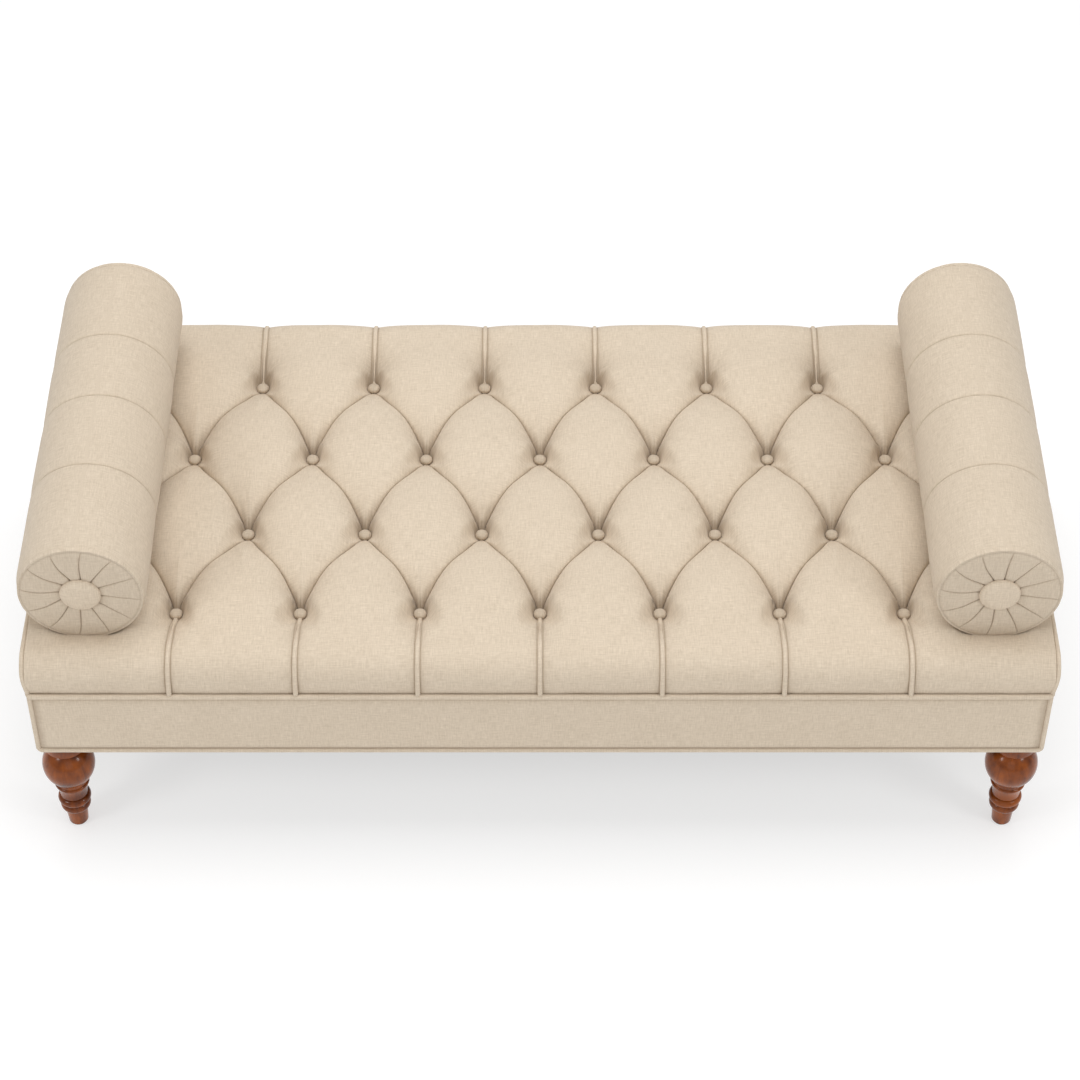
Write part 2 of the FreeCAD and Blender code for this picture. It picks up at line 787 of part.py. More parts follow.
# Welts that run round the body, as straight cords and quarter bends
def welt_ring(label, thick, height, half_x, half_y):
    members = []
    for _, sy in FACES:
        members.append(rod(None, thick, "2 * (%s - weltCorner)" % half_x,
                           ("weltCorner - %s" % half_x, "%d * %s" % (sy, half_y), height), "x"))
    for _, sx in SIDES:
        members.append(rod(None, thick, "2 * (%s - weltCorner)" % half_y,
                           ("%d * %s" % (sx, half_x), "weltCorner - %s" % half_y, height), "y"))
    for sx, sy, angle in ((1, 1, 0), (-1, 1, 90), (-1, -1, 180), (1, -1, 270)):
        bend = make("Part::Torus", None)
        bind(bend, Radius1="weltCorner", Radius2="%s / 2" % thick, Angle3="90")
        place(bend, "%d * (%s - weltCorner)" % (sx, half_x), "%d * (%s - weltCorner)" % (sy, half_y),
              height, FreeCAD.Rotation(V(0, 0, 1), angle))
        members.append(bend)
    return join(label, members)


def rail_upholstery():
    welt_ring("top_welt", "weltThick", WELT_Z, "(bodyLength / 2)", "(bodyDepth / 2)")
    welt_ring("bottom_welt", "lowerWeltThick", "(legHeight + lowerWeltThick / 2)",
              "(%s + lowerWeltThick / 2)" % FRAME_X, "(%s + lowerWeltThick / 2)" % FRAME_Y)
    tall = "%s - %s" % (BAND_TOP, BAND_FOOT)
    corner_x = "(bodyLength / 2 - bandThick / 2)"
    corner_y = "(bodyDepth / 2 - bandThick / 2)"
    for face, sy in FACES:
        centred(face + "_band", "2 * (%s - cornerWeltThick / 2)" % corner_x, "bandThick", BAND_FOOT,
                tall, y="%d * %s" % (sy, corner_y))
    for side, sx in SIDES:
        centred(side + "_end_band", "bandThick", "2 * (%s - cornerWeltThick / 2)" % corner_y,
                BAND_FOOT, tall, x="%d * %s" % (sx, corner_x))
    cords = [rod(None, "cornerWeltThick", tall,
                 ("%d * %s" % (sx, corner_x), "%d * %s" % (sy, corner_y), BAND_FOOT))
             for _, sx in SIDES for _, sy in FACES]
    gather("corner_welts", cords)


# Underside
def dust_cover(staples):
    margin = "(lowerWeltThick / 2)"
    sheet = centred(None, "2 * (%s - %s)" % (FRAME_X, margin), "2 * (%s - %s)" % (FRAME_Y, margin),
                    "%s - dustCoverThick" % RAIL_UNDER, "dustCoverThick")
    opening = "plateSide + 2 * plateRoom"
    openings = [centred(None, opening, opening, "legHeight - plateRoom", "railLift + 2 * plateRoom",
                        "%d * %s" % (sx, LEG_X), "%d * %s" % (sy, LEG_Y))
                for _, sx in SIDES for _, sy in FACES]
    return cut("dust_cover", sheet, gather(None, [staples] + openings))


# Legs
def turned_leg(label, x, y, bolts):
    ring = bulge_radius("2 * ringHalf", "(lowRingWide - ringNeckWide) / 2")
    upper = bulge_radius("2 * ringHalf", "(highRingWide - ringNeckWide) / 2")
    ridge = bulge_radius("2 * ridgeHalf", "(ridgeWide - ballNeckWide) / 2")
    ball = bulge_radius("2 * ballHalf", "(ballWide - ballNeckWide) / 2")
    outline = [
        ("0", "glideThick"),
        ("footWide / 2", "glideThick"),
        ("ankleWide / 2", "ankleHeight"),
        ("ringNeckWide / 2", "lowRingHeight - ringHalf", ring, 1),
        ("lowRingWide / 2", "lowRingHeight", ring, 1),
        ("ringNeckWide / 2", "lowRingHeight + ringHalf"),
        ("ringNeckWide / 2", "highRingHeight - ringHalf", upper, 1),
        ("highRingWide / 2", "highRingHeight", upper, 1),
        ("ringNeckWide / 2", "highRingHeight + ringHalf"),
        ("neckWide / 2", "highRingHeight + ringHalf + neckStep", "neckCove", -1),
        ("ballNeckWide / 2", "ridgeHeight - ridgeHalf", ridge, 1),
        ("ridgeWide / 2", "ridgeHeight", ridge, 1),
        ("ballNeckWide / 2", "ridgeHeight + ridgeHalf"),
        ("ballNeckWide / 2", "ballHeight - ballHalf", ball, 1),
        ("ballNeckWide / 2", "ballHeight + ballHalf"),
        ("collarWide / 2", "legHeight - collarHeight"),
        ("collarWide / 2", "legHeight"),
        ("0", "legHeight"),
    ]
    wood = turned(None, "XZ_Plane", outline)
    place(wood, x, y, "0")
    return cut(label, wood, bolts)


def legs(bolts, plate_screws):
    plates, glides = [], []
    for side, sx in SIDES:
        for face, sy in FACES:
            x, y = "%d * %s" % (sx, LEG_X), "%d * %s" % (sy, LEG_Y)
            turned_leg("leg_%s_%s" % (face, side), x, y, bolts)
            plates.append(centred(None, "plateSide", "plateSide", "legHeight", "plateThick", x, y))
            glides.append(rod(None, "glideWide", "glideThick", (x, y, "0")))
    cut("leg_plates", gather(None, plates), gather(None, [bolts, plate_screws]))
    gather("foot_glides", glides)


# Bolsters: a stuffed roll with three drawn-in seams, pleated ends and a
# covered button in the middle of each end.
def bolster_tube():
    """Half outline of the cover: length along Y, radius along X."""
    rim = "(bolsterLong / 2 - bolsterEndThick)"
    bore = "(bolsterWide / 2 - bolsterWall)"
    waist = "(bolsterWide / 2 - bolsterSeamDeep)"
    seams = ["bolster%sSeam - bolsterLong / 2" % name for name in ("First", "Second", "Third")]
    stops = ["-" + rim] + seams + [rim]
    outline = [(bore, stops[0])]
    for first, last in zip(stops, stops[1:]):
        outline.append((waist, first, bulge_radius("%s - (%s)" % (last, first), "bolsterSeamDeep"), 1))
    outline.append((waist, rim))
    outline.append((bore, rim))
    return outline


def bolster_end_outline():
    """Half outline of an end: a dished disc whose rim rounds over."""
    rim = "(bolsterWide / 2 - bolsterSeamDeep)"
    back = "(bolsterLong / 2 - bolsterEndThick)"
    seat = "(bolsterLong / 2 - bolsterEndDish)"
    button = "(bolsterButtonWide / 2 + buttonRoom)"
    span = "(%s - %s)" % (rim, button)
    return [("0", back), (rim, back), (rim, back + " + bolsterEndRim", bulge_radius(span, "bolsterEndDish"), 1),
            (button, seat), ("0", seat)]


def bolster(side, sx):
    """All pieces of one bolster, around its own axis."""
    x, z = "%d * bolsterPlace" % sx, BOLSTER_Z
    trim = centred(None, "2 * bolsterWide", "2 * bolsterLong", "%s - bolsterFlat - bolsterWide" % z,
                   "bolsterWide", x=x)
    reach = "(bolsterLong / 2 - bolsterEndDish)"
    rod(side + "_bolster_twine", "twineThick", "2 * " + reach, (x, "-" + reach, z), "y")
    twine_hole = rod(None, "twineThick + 2 * twineRoom", "2 * " + reach, (x, "-" + reach, z), "y")
    tube = turned(None, "XY_Plane", bolster_tube())
    place(tube, x, "0", z)
    cut(side + "_bolster_cover", tube, trim)
    inner = "(bolsterLong / 2 - bolsterEndThick)"
    core = rod(None, "bolsterWide - 2 * bolsterWall", "2 * " + inner, (x, "-" + inner, z), "y")
    cut(side + "_bolster_core", core, twine_hole)
    buttons = []
    for face, sy in FACES:
        axis = "y" if sy > 0 else "-y"
        seat = "%d * (bolsterLong / 2 - bolsterEndDish)" % sy
        base = rod(None, "bolsterButtonWide", "bolsterButtonBase", (x, seat, z), axis)
        top = "%s + %d * bolsterButtonBase" % (seat, sy)
        dome = cap((x, top, z), "bolsterButtonWide / 2", "bolsterButtonDome", axis)
        buttons.append(join(None, [base, dome]))
    gather(side + "_bolster_buttons", buttons)
    return trim, twine_hole


def mirrored(label, source, normal):
    """The same piece on the other side of the bench."""
    obj = make("Part::Mirroring", label)
    obj.Source = source
    obj.Normal = normal
    return obj


def bolster_ends(trim, twine_hole):
    """One pleated end, and its mirror images on the other three ends."""
    x, z = "bolsterPlace", BOLSTER_Z
    disc = turned(None, "XY_Plane", bolster_end_outline())
    place(disc, x, "0", z)
    pleats = []
    for index in range(int(S.bolsterPleats)):
        fold = make("Part::Cone", None)
        bind(fold, Radius1="bolsterPleatDeep / 5", Radius2="bolsterPleatDeep", Height="bolsterWide / 2")
        turn = FreeCAD.Rotation(V(0, 1, 0), 360 * (index + 0.5) / S.bolsterPleats)
        place(fold, x, "bolsterLong / 2", z, turn)
        pleats.append(fold)
    back_right = cut("right_bolster_back_end", disc, gather(None, [trim, twine_hole] + pleats))
    front_right = mirrored("right_bolster_front_end", back_right, V(0, 1, 0))
    mirrored("left_bolster_back_end", back_right, V(1, 0, 0))
    mirrored("left_bolster_front_end", front_right, V(1, 0, 0))


def build():
    top_screws, bolts, plate_screws, staples = wooden_frame()
    twine_holes = tuft_twine()
    deck = centred(None, "2 * " + FRAME_X, "2 * " + FRAME_Y, DECK_UNDER, "deckThick")
    deck = rounded(None, deck, "weltCorner - weltThick / 2", lambda at: True)
    cut("seat_deck", deck, gather(None, [top_screws, twine_holes]))
    foam = centred(None, "bodyLength - 2 * coverWall", "bodyDepth - 2 * coverWall", DECK_TOP, "foamThick")
    cut("seat_foam", foam, twine_holes)
    seat = SeatShape()
    seat_cover(seat, foam, twine_holes)
    seat_buttons()
    channel_welts(seat, "front_channel_welts", -1, 3, 1)
    channel_welts(seat, "back_channel_welts", 1, 0, 0)
    seat_ends(seat)
    rail_upholstery()
    dust_cover(staples)
    legs(bolts, plate_screws)
    for side, sx in SIDES:
        trim, twine_hole = bolster(side, sx)
    bolster_ends(trim, twine_hole)


def write_parts():
    doc.recompute()
    for obj in doc.Objects:
        if "Invalid" in obj.State or "Error" in obj.State:
            raise RuntimeError("%s (%s) did not recompute: %s" % (obj.Label, obj.TypeId, obj.State))
    for name in node_names:
        shape = doc.getObject(name).Shape
        if shape.isNull() or not shape.isValid() or not shape.Solids:
            raise RuntimeError("%s has no valid solid" % name)
    os.makedirs("parts", exist_ok=True)
    for name in node_names:
        shape = doc.getObject(name).Shape
        shape.exportStep("parts/%s.step" % name)
        print("%-26s %3d solids %12.0f mm3" % (name, len(shape.Solids), shape.Volume))
    print(len(node_names), "sub-parts")


build()
write_parts()
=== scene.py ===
import math

import bpy
import numpy as np
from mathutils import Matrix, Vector


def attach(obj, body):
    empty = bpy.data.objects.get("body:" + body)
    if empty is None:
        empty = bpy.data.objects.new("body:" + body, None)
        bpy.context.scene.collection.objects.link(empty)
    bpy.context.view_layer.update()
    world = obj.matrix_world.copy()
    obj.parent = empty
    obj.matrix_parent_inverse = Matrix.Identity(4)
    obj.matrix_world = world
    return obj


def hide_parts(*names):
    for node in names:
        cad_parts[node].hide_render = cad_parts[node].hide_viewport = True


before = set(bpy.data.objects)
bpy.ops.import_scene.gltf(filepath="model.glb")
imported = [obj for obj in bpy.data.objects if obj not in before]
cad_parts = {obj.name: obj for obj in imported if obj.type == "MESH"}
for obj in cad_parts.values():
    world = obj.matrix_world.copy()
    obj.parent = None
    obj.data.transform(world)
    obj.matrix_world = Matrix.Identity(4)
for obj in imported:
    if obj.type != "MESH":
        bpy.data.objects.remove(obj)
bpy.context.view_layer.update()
mm = 0.001  # shapes are worked out in millimetres and scaled on the way into a mesh


# Small helpers that every piece uses
def clearSelection():
    if bpy.context.mode != "OBJECT":
        bpy.ops.object.mode_set(mode="OBJECT")
    bpy.ops.object.select_all(action="DESELECT")


def pick(piece):
    clearSelection()
    piece.select_set(True)
    bpy.context.view_layer.objects.active = piece


def smoothStep(value, low, high):
    share = np.clip((value - low) / (high - low), 0, 1)
    return share * share * (3 - 2 * share)


def ripple(a, b, length, seed, waves=7):  # seeded soft unevenness of about the given wavelength
    dice = np.random.RandomState(seed)
    total = 0
    for _ in range(waves):
        turn, phase = dice.uniform(0, 2 * math.pi, 2)
        wave = dice.uniform(0.7, 1.6) * 2 * math.pi / length
        total = total + np.sin(wave * (a * math.cos(turn) + b * math.sin(turn)) + phase)
    return total / waves


def crowded(count, ends, power=1.9):  # shares above 0 up to 1, closer together at the named ends
    u = np.linspace(0, 1, count + 1)[1:]
    if ends == "both":
        return np.where(u < 0.5, 0.5 * (2 * u) ** power, 1 - 0.5 * (2 - 2 * u) ** power)
    if ends == "start":
        return u ** power
    if ends == "stop":
        return 1 - (1 - u) ** power
    return u


def outward(piece):  # normals face out
    pick(piece)
    bpy.ops.object.mode_set(mode="EDIT")
    bpy.ops.mesh.select_all(action="SELECT")
    bpy.ops.mesh.normals_make_consistent(inside=False)
    bpy.ops.object.mode_set(mode="OBJECT")
    clearSelection()


def meshPiece(name, points, faces, uv, material, smoothAngle=60, shade=None):
    mesh = bpy.data.meshes.new(name)
    mesh.from_pydata((np.asarray(points) * mm).tolist(), [], faces)
    layer = mesh.uv_layers.new(name="clothMap")
    corners = np.zeros(len(mesh.loops), dtype=np.int32)
    mesh.loops.foreach_get("vertex_index", corners)
    layer.data.foreach_set("uv", (np.asarray(uv) * mm).astype(np.float32)[corners].ravel())
    if shade is not None:  # painted shade: how dark each point is painted where it sits in a fold, seam or pit
        folded = mesh.attributes.new("foldShade", "FLOAT", "POINT")
        folded.data.foreach_set("value", np.asarray(shade, dtype=np.float32))
    mesh.materials.append(material)
    piece = bpy.data.objects.new(name, mesh)
    bpy.context.scene.collection.objects.link(piece)
    pick(piece)
    bpy.ops.object.shade_smooth_by_angle(angle=math.radians(smoothAngle))
    outward(piece)
    return piece


def gridFaces(rows, columns, start=0):  # quads around a tube, row by row
    faces = []
    for row in range(rows - 1):
        for column in range(columns):
            a = start + row * columns + column
            b = start + row * columns + (column + 1) % columns
            faces.append((a, b, b + columns, a + columns))
    return faces


def bridgeFaces(rows, columns, start=0):  # quads from the last row back to the first
    faces = []
    for column in range(columns):
        after = (column + 1) % columns
        last = start + (rows - 1) * columns
        faces.append((last + column, last + after, start + after, start + column))
    return faces


def tubePiece(name, grid, cloth, material, smoothAngle, shade=None):  # grid of rings with both ends capped
    rows, columns = grid.shape[:2]
    faces = gridFaces(rows, columns)
    faces.append(tuple(range(columns)))
    faces.append(tuple(reversed(range((rows - 1) * columns, rows * columns))))
    return meshPiece(name, grid.reshape(-1, 3), faces, cloth.reshape(-1, 2), material, smoothAngle, shade)


def placePiece(piece, body, slotName, *nodes, fill=None):
    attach(piece, body)
    if nodes:
        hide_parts(*nodes)


# Materials
def newMaterial(name, settings):
    material = bpy.data.materials.new(name)
    material.use_nodes = True
    shader = material.node_tree.nodes["Principled BSDF"]
    for socket, value in settings.items():
        shader.inputs[socket].default_value = value
    return material, shader


def addNode(material, kind, output, inputs=None, **properties):  # one output socket of a new node
    node = material.node_tree.nodes.new(kind)
    for key, value in properties.items():
        setattr(node, key, value)
    for key, value in (inputs or {}).items():
        if isinstance(value, bpy.types.NodeSocket):
            material.node_tree.links.new(value, node.inputs[key])
        else:
            node.inputs[key].default_value = value
    return node.outputs[output]


def noise(material, place, scale, detail, **more):
    inputs = {"Vector": place, "Scale": scale, "Detail": detail}
    inputs.update({key.capitalize(): value for key, value in more.items()})
    return addNode(material, "ShaderNodeTexNoise", "Fac", inputs)


def maths(material, operation, first, second):
    return addNode(material, "ShaderNodeMath", 0, {0: first, 1: second}, operation=operation)


def blend(material, factor, dark, light):
    return addNode(material, "ShaderNodeMix", 2, {0: factor, 6: dark, 7: light}, data_type="RGBA")


def spreadOut(material, value, low, high):
    return addNode(material, "ShaderNodeMapRange", "Result", {"Value": value, "From Min": low, "From Max": high})


def finishShader(material, shader, colour, height, strength, distance):
    links = material.node_tree.links
    links.new(colour, shader.inputs["Base Color"])
    relief = {"Height": height, "Strength": strength, "Distance": distance}
    links.new(addNode(material, "ShaderNodeBump", "Normal", relief), shader.inputs["Normal"])


linen = {
    "shade": (0.525, 0.43, 0.322, 1), "light": (0.76, 0.655, 0.525, 1),
    "foldShadeColour": (0.20, 0.13, 0.075, 1), "foldShadow": 0.62,
    "threadPitch": 0.0013, "slubLength": 0.018,
    "cloudScale": 16.0, "cloudShare": 0.2, "speckScale": 260.0, "speckShare": 0.45,
    "toneLow": 0.85, "toneHigh": 1.95, "threadWaver": 1.5, "bump": 0.32, "bumpHeight": 0.0006,
    "finish": {"Roughness": 0.92, "Specular IOR Level": 0.18, "Sheen Weight": 0.12, "Sheen Roughness": 0.45},
    # painted shade and painted light: the seat buttons and the bolsters get darker copies of the one linen, the
    # bolster buttons a lighter one, to match how each is lit
    "seatTone": 1.0, "weltTone": 1.0, "buttonShadedTone": 0.9, "bolsterShadedTone": 0.95, "bolsterButtonLitTone": 1.04,
    "dustTone": 0.12,
}


def linenMaterial(name, tone, coordinates="UV"):
    material, shader = newMaterial(name, linen["finish"])
    place = addNode(material, "ShaderNodeTexCoord", coordinates)
    fine, long = 1 / linen["threadPitch"], 1 / linen["slubLength"]
    threads = []
    for scale in ((fine, long, long), (long, fine, fine)):  # one noise stretched along each thread
        stretched = addNode(material, "ShaderNodeMapping", "Vector", {"Vector": place, "Scale": scale})
        threads.append(noise(material, stretched, 1.0, 2.0, roughness=0.55))
    cloudy = noise(material, place, linen["cloudScale"], 3.0)
    speck = noise(material, place, linen["speckScale"], 2.0)
    woven = maths(material, "ADD", threads[0], threads[1])
    total = maths(material, "ADD", woven, maths(material, "MULTIPLY", cloudy, linen["cloudShare"]))
    total = maths(material, "ADD", total, maths(material, "MULTIPLY", speck, linen["speckShare"]))
    spread = spreadOut(material, total, linen["toneLow"], linen["toneHigh"])
    shade, light = ([channel * tone for channel in linen[key][:3]] + [1] for key in ("shade", "light"))
    colour = blend(material, spread, shade, light)
    # painted shade: the foldShade attribute darkens the colour towards a dark brown in folds, seams and pits
    folded = addNode(material, "ShaderNodeAttribute", "Fac", attribute_name="foldShade")
    shadow = maths(material, "MULTIPLY", folded, linen["foldShadow"])
    colour = blend(material, shadow, colour, linen["foldShadeColour"])
    wave = {"Vector": place, "Scale": 2 * math.pi / 20 / linen["threadPitch"],
            "Distortion": linen["threadWaver"], "Detail": 1.0}
    ribs = [addNode(material, "ShaderNodeTexWave", "Fac", wave, bands_direction=way) for way in ("X", "Y")]
    raised = maths(material, "ADD", maths(material, "MULTIPLY", ribs[0], ribs[1]), woven)
    finishShader(material, shader, colour, raised, linen["bump"], linen["bumpHeight"])
    return material


timber = {
    "leg": ((0.085, 0.016, 0.002, 1), (0.35, 0.085, 0.008, 1)), "legGrain": (70, 70, 7),
    "legFinish": {"Roughness": 0.22, "Coat Weight": 0.22, "Coat Roughness": 0.06, "Specular IOR Level": 0.2},
    "pine": ((0.50, 0.33, 0.17, 1), (0.66, 0.47, 0.28, 1)), "pineGrain": (8, 90, 90),
    "plywood": ((0.42, 0.27, 0.14, 1), (0.60, 0.43, 0.26, 1)), "plywoodGrain": (6, 50, 160),
    "cloudScale": 30.0, "toneLow": 0.7, "toneHigh": 1.35,
}


def woodMaterial(name, dark, light, stretch, settings):  # the grain runs along the axis with the least stretch
    material, shader = newMaterial(name, settings)
    place = addNode(material, "ShaderNodeTexCoord", "Object")
    stretched = addNode(material, "ShaderNodeMapping", "Vector", {"Vector": place, "Scale": stretch})
    grain = noise(material, stretched, 1.0, 6.0, roughness=0.6, distortion=0.6)
    cloudy = noise(material, place, timber["cloudScale"], 2.0)
    total = maths(material, "ADD", grain, cloudy)
    spread = spreadOut(material, total, timber["toneLow"], timber["toneHigh"])
    finishShader(material, shader, blend(material, spread, dark, light), grain, 0.05, 0.0004)
    return material


def plainMaterial(name, dark, light, scale, settings):
    material, shader = newMaterial(name, settings)
    mottle = noise(material, addNode(material, "ShaderNodeTexCoord", "Object"), scale, 4.0)
    finishShader(material, shader, blend(material, mottle, dark, light), mottle, 0.1, 0.0003)
    return material


seatLinen = linenMaterial("seatLinen", linen["seatTone"])
weltLinen = linenMaterial("weltLinen", linen["weltTone"])
buttonLinen = linenMaterial("buttonLinen", linen["buttonShadedTone"])
bolsterLinen = linenMaterial("bolsterLinen", linen["bolsterShadedTone"])
bolsterButtonLinen = linenMaterial("bolsterButtonLinen", linen["bolsterButtonLitTone"])
slotMaterials = {
    "dust_cloth": linenMaterial("dustCloth", linen["dustTone"], "Object"),
    "turned_wood": woodMaterial("stainedLeg", *timber["leg"], timber["legGrain"], timber["legFinish"]),
    "frame_wood": woodMaterial("frameWood", *timber["pine"], timber["pineGrain"], {"Roughness": 0.65}),
    "plywood": woodMaterial("plywoodFace", *timber["plywood"], timber["plywoodGrain"], {"Roughness": 0.6}),
    "zinc_steel": plainMaterial("zincSteel", (0.42, 0.43, 0.44, 1), (0.62, 0.63, 0.64, 1), 140,
                                {"Metallic": 1.0, "Roughness": 0.38}),
    "glide_plastic": plainMaterial("glidePlastic", (0.035, 0.028, 0.022, 1), (0.06, 0.05, 0.04, 1), 90,
                                   {"Roughness": 0.55}),
    "foam": plainMaterial("waddingFoam", (0.72, 0.68, 0.56, 1), (0.84, 0.81, 0.70, 1), 400, {"Roughness": 0.95}),
    "twine": plainMaterial("waxedTwine", (0.42, 0.34, 0.24, 1), (0.62, 0.53, 0.40, 1), 900, {"Roughness": 0.8}),
}
print("materials ready")

nodeSlots = {  # part of a node's name, and its finish; the first match counts
    "leg_front": "turned_wood", "leg_back": "turned_wood", "rail_dowels": "frame_wood", "screws": "zinc_steel",
    "leg_bolts": "zinc_steel", "staples": "zinc_steel", "leg_plates": "zinc_steel", "washers": "zinc_steel",
    "foot_glides": "glide_plastic", "seat_deck": "plywood", "twine": "twine", "seat_foam": "foam",
    "core": "foam", "rail": "frame_wood", "corner_post": "frame_wood", "dust_cover": "dust_cloth",
}
for nodeName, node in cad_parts.items():
    for part, slotName in nodeSlots.items():
        if part in nodeName:
            node.data.materials.clear()
            node.data.materials.append(slotMaterials[slotName])
            break
print("CAD nodes finished")


# Piping cords: tubes of slightly uneven cloth along flat paths
cord = {"sides": 14, "uneven": 0.035, "unevenLength": 23, "endTaper": 0.15, "endRound": 0.6}


def cordPiece(name, paths, radius, normal, seed, closed=False, sides=cord["sides"]):
    points, faces, uv = [], [], []
    normal = np.array(normal, float)
    angles = np.arange(sides) * 2 * math.pi / sides
    for order, path in enumerate(paths):
        path = np.asarray(path, float)
        tangent = np.roll(path, -1, 0) - np.roll(path, 1, 0) if closed else np.gradient(path, axis=0)
        tangent /= np.linalg.norm(tangent, axis=1)[:, None]
        across = np.cross(tangent, normal)
        along = np.concatenate([[0], np.cumsum(np.linalg.norm(np.diff(path, axis=0), axis=1))])
        swell = radius * (1 + cord["uneven"] * ripple(along, along * 0, cord["unevenLength"], seed + order))
        if not closed:  # one more, narrow ring rounds each end
            reach = radius * cord["endRound"]
            path = np.vstack([path[:1] - tangent[:1] * reach, path, path[-1:] + tangent[-1:] * reach])
            across = np.vstack([across[:1], across, across[-1:]])
            along = np.concatenate([along[:1] - radius, along, along[-1:] + radius])
            taper = [radius * cord["endTaper"]]
            swell = np.concatenate([taper, swell, taper])
        ring = np.cos(angles)[None, :, None] * normal + np.sin(angles)[None, :, None] * across[:, None, :]
        tube = path[:, None, :] + ring * swell[:, None, None]
        start, rows = len(points), len(path)
        points += tube.reshape(-1, 3).tolist()
        around = np.broadcast_to((angles * radius)[None, :], (rows, sides))
        uv += np.stack([around, np.broadcast_to(along[:, None], (rows, sides))], -1).reshape(-1, 2).tolist()
        faces += gridFaces(rows, sides, start)
        if closed:
            faces += bridgeFaces(rows, sides, start)
        else:
            faces.append(tuple(start + side for side in reversed(range(sides))))
            faces.append(tuple(start + (rows - 1) * sides + side for side in range(sides)))
    return meshPiece(name, points, faces, uv, weltLinen)


# Covered buttons: a disc is drawn up in steps, rounded, and set where it belongs
buttonShape = {
    "steps": ((0.13, 1.12), (0.2, 1.005), (0.22, 0.965), (0.2, 0.86), (0.14, 0.76), (0.08, 0.62), (0.03, 0.42)),
    "foot": 0.9, "sides": 48, "clothShift": (0.0013, 0.0017),
}


def coveredButton(at, radius, height, axis, material):
    clearSelection()
    bpy.ops.mesh.primitive_circle_add(vertices=buttonShape["sides"], radius=radius * buttonShape["foot"] * mm,
                                      fill_type="NGON", location=(0, 0, 0))
    piece = bpy.context.object
    bpy.ops.object.mode_set(mode="EDIT")
    bpy.ops.mesh.select_all(action="SELECT")
    for rise, grow in buttonShape["steps"]:
        bpy.ops.mesh.extrude_region_move(TRANSFORM_OT_translate={"value": (0, 0, rise * height * mm)})
        bpy.ops.transform.resize(value=(grow, grow, 1))
    bpy.ops.object.mode_set(mode="OBJECT")
    pick(piece)
    rounding = piece.modifiers.new("rounding", "SUBSURF")
    rounding.levels = rounding.render_levels = 1
    bpy.ops.object.modifier_apply(modifier=rounding.name)
    cloth = piece.data.uv_layers[0] if piece.data.uv_layers else piece.data.uv_layers.new(name="clothMap")
    shiftX, shiftY = (at[k] * buttonShape["clothShift"][k] for k in range(2))
    for loop in piece.data.loops:
        corner = piece.data.vertices[loop.vertex_index].co
        cloth.data[loop.index].uv = (corner.x + shiftX, corner.y + shiftY)
    piece.rotation_euler = {"z": (0, 0, 0), "y": (-math.pi / 2, 0, 0), "-y": (math.pi / 2, 0, 0)}[axis]
    piece.location = [value * mm for value in at]
    bpy.ops.object.transform_apply(location=True, rotation=True, scale=True)
    piece.data.materials.clear()
    piece.data.materials.append(material)
    bpy.ops.object.shade_smooth_by_angle(angle=math.radians(70))
    clearSelection()
    return piece


def joined(pieces, name):
    clearSelection()
    for piece in pieces:
        piece.select_set(True)
    bpy.context.view_layer.objects.active = pieces[0]
    bpy.ops.object.join()
    whole = bpy.context.object
    whole.name = name
    outward(whole)
    return whole


# Bolsters
bolster = {
    "place": 625, "axis": 439, "radius": 88.3, "flat": 82.5, "half": 300, "rim": 292, "rimLoss": 2.6,
    "rimRounding": 16, "around": 144, "seams": (-132, 8, 137), "seamLoss": 1.6, "seamSpread": 9,
    "seamGroove": 1.5, "seamLip": 0.8, "seamShade": 0.55, "puckers": 19, "puckerDeep": 0.35,
    "uneven": 0.6, "unevenLength": 150, "flatEase": 3,
}
bolsterEnd = {
    "pleats": 12, "pleatLip": 1.1, "lipReach": 4, "pleatGroove": 2.3, "grooveReach": 1.0, "pleatShade": 0.7,
    "pillow": 0.9, "proud": 7.2, "dish": 3.4, "belly": 0.8, "buttonRadius": 28, "buttonRise": 12,
    "buttonSunk": 5.5, "underButton": 6, "rimCord": 1.9, "rimCordOut": 1.1, "rimPlace": 0.036, "rimWide": 0.017,
    "stitchPlace": 0.075, "stitchWide": 0.014, "stitchDeep": 0.8, "notch": 0.8, "lean": 0.05, "uneven": 0.25,
    "steps": (0, 0.012, 0.03, 0.055, 0.09, 0.14, 0.2, 0.28, 0.38, 0.5, 0.62, 0.72, 0.8, 0.86, 0.91, 0.945,
              0.97, 0.988),
}


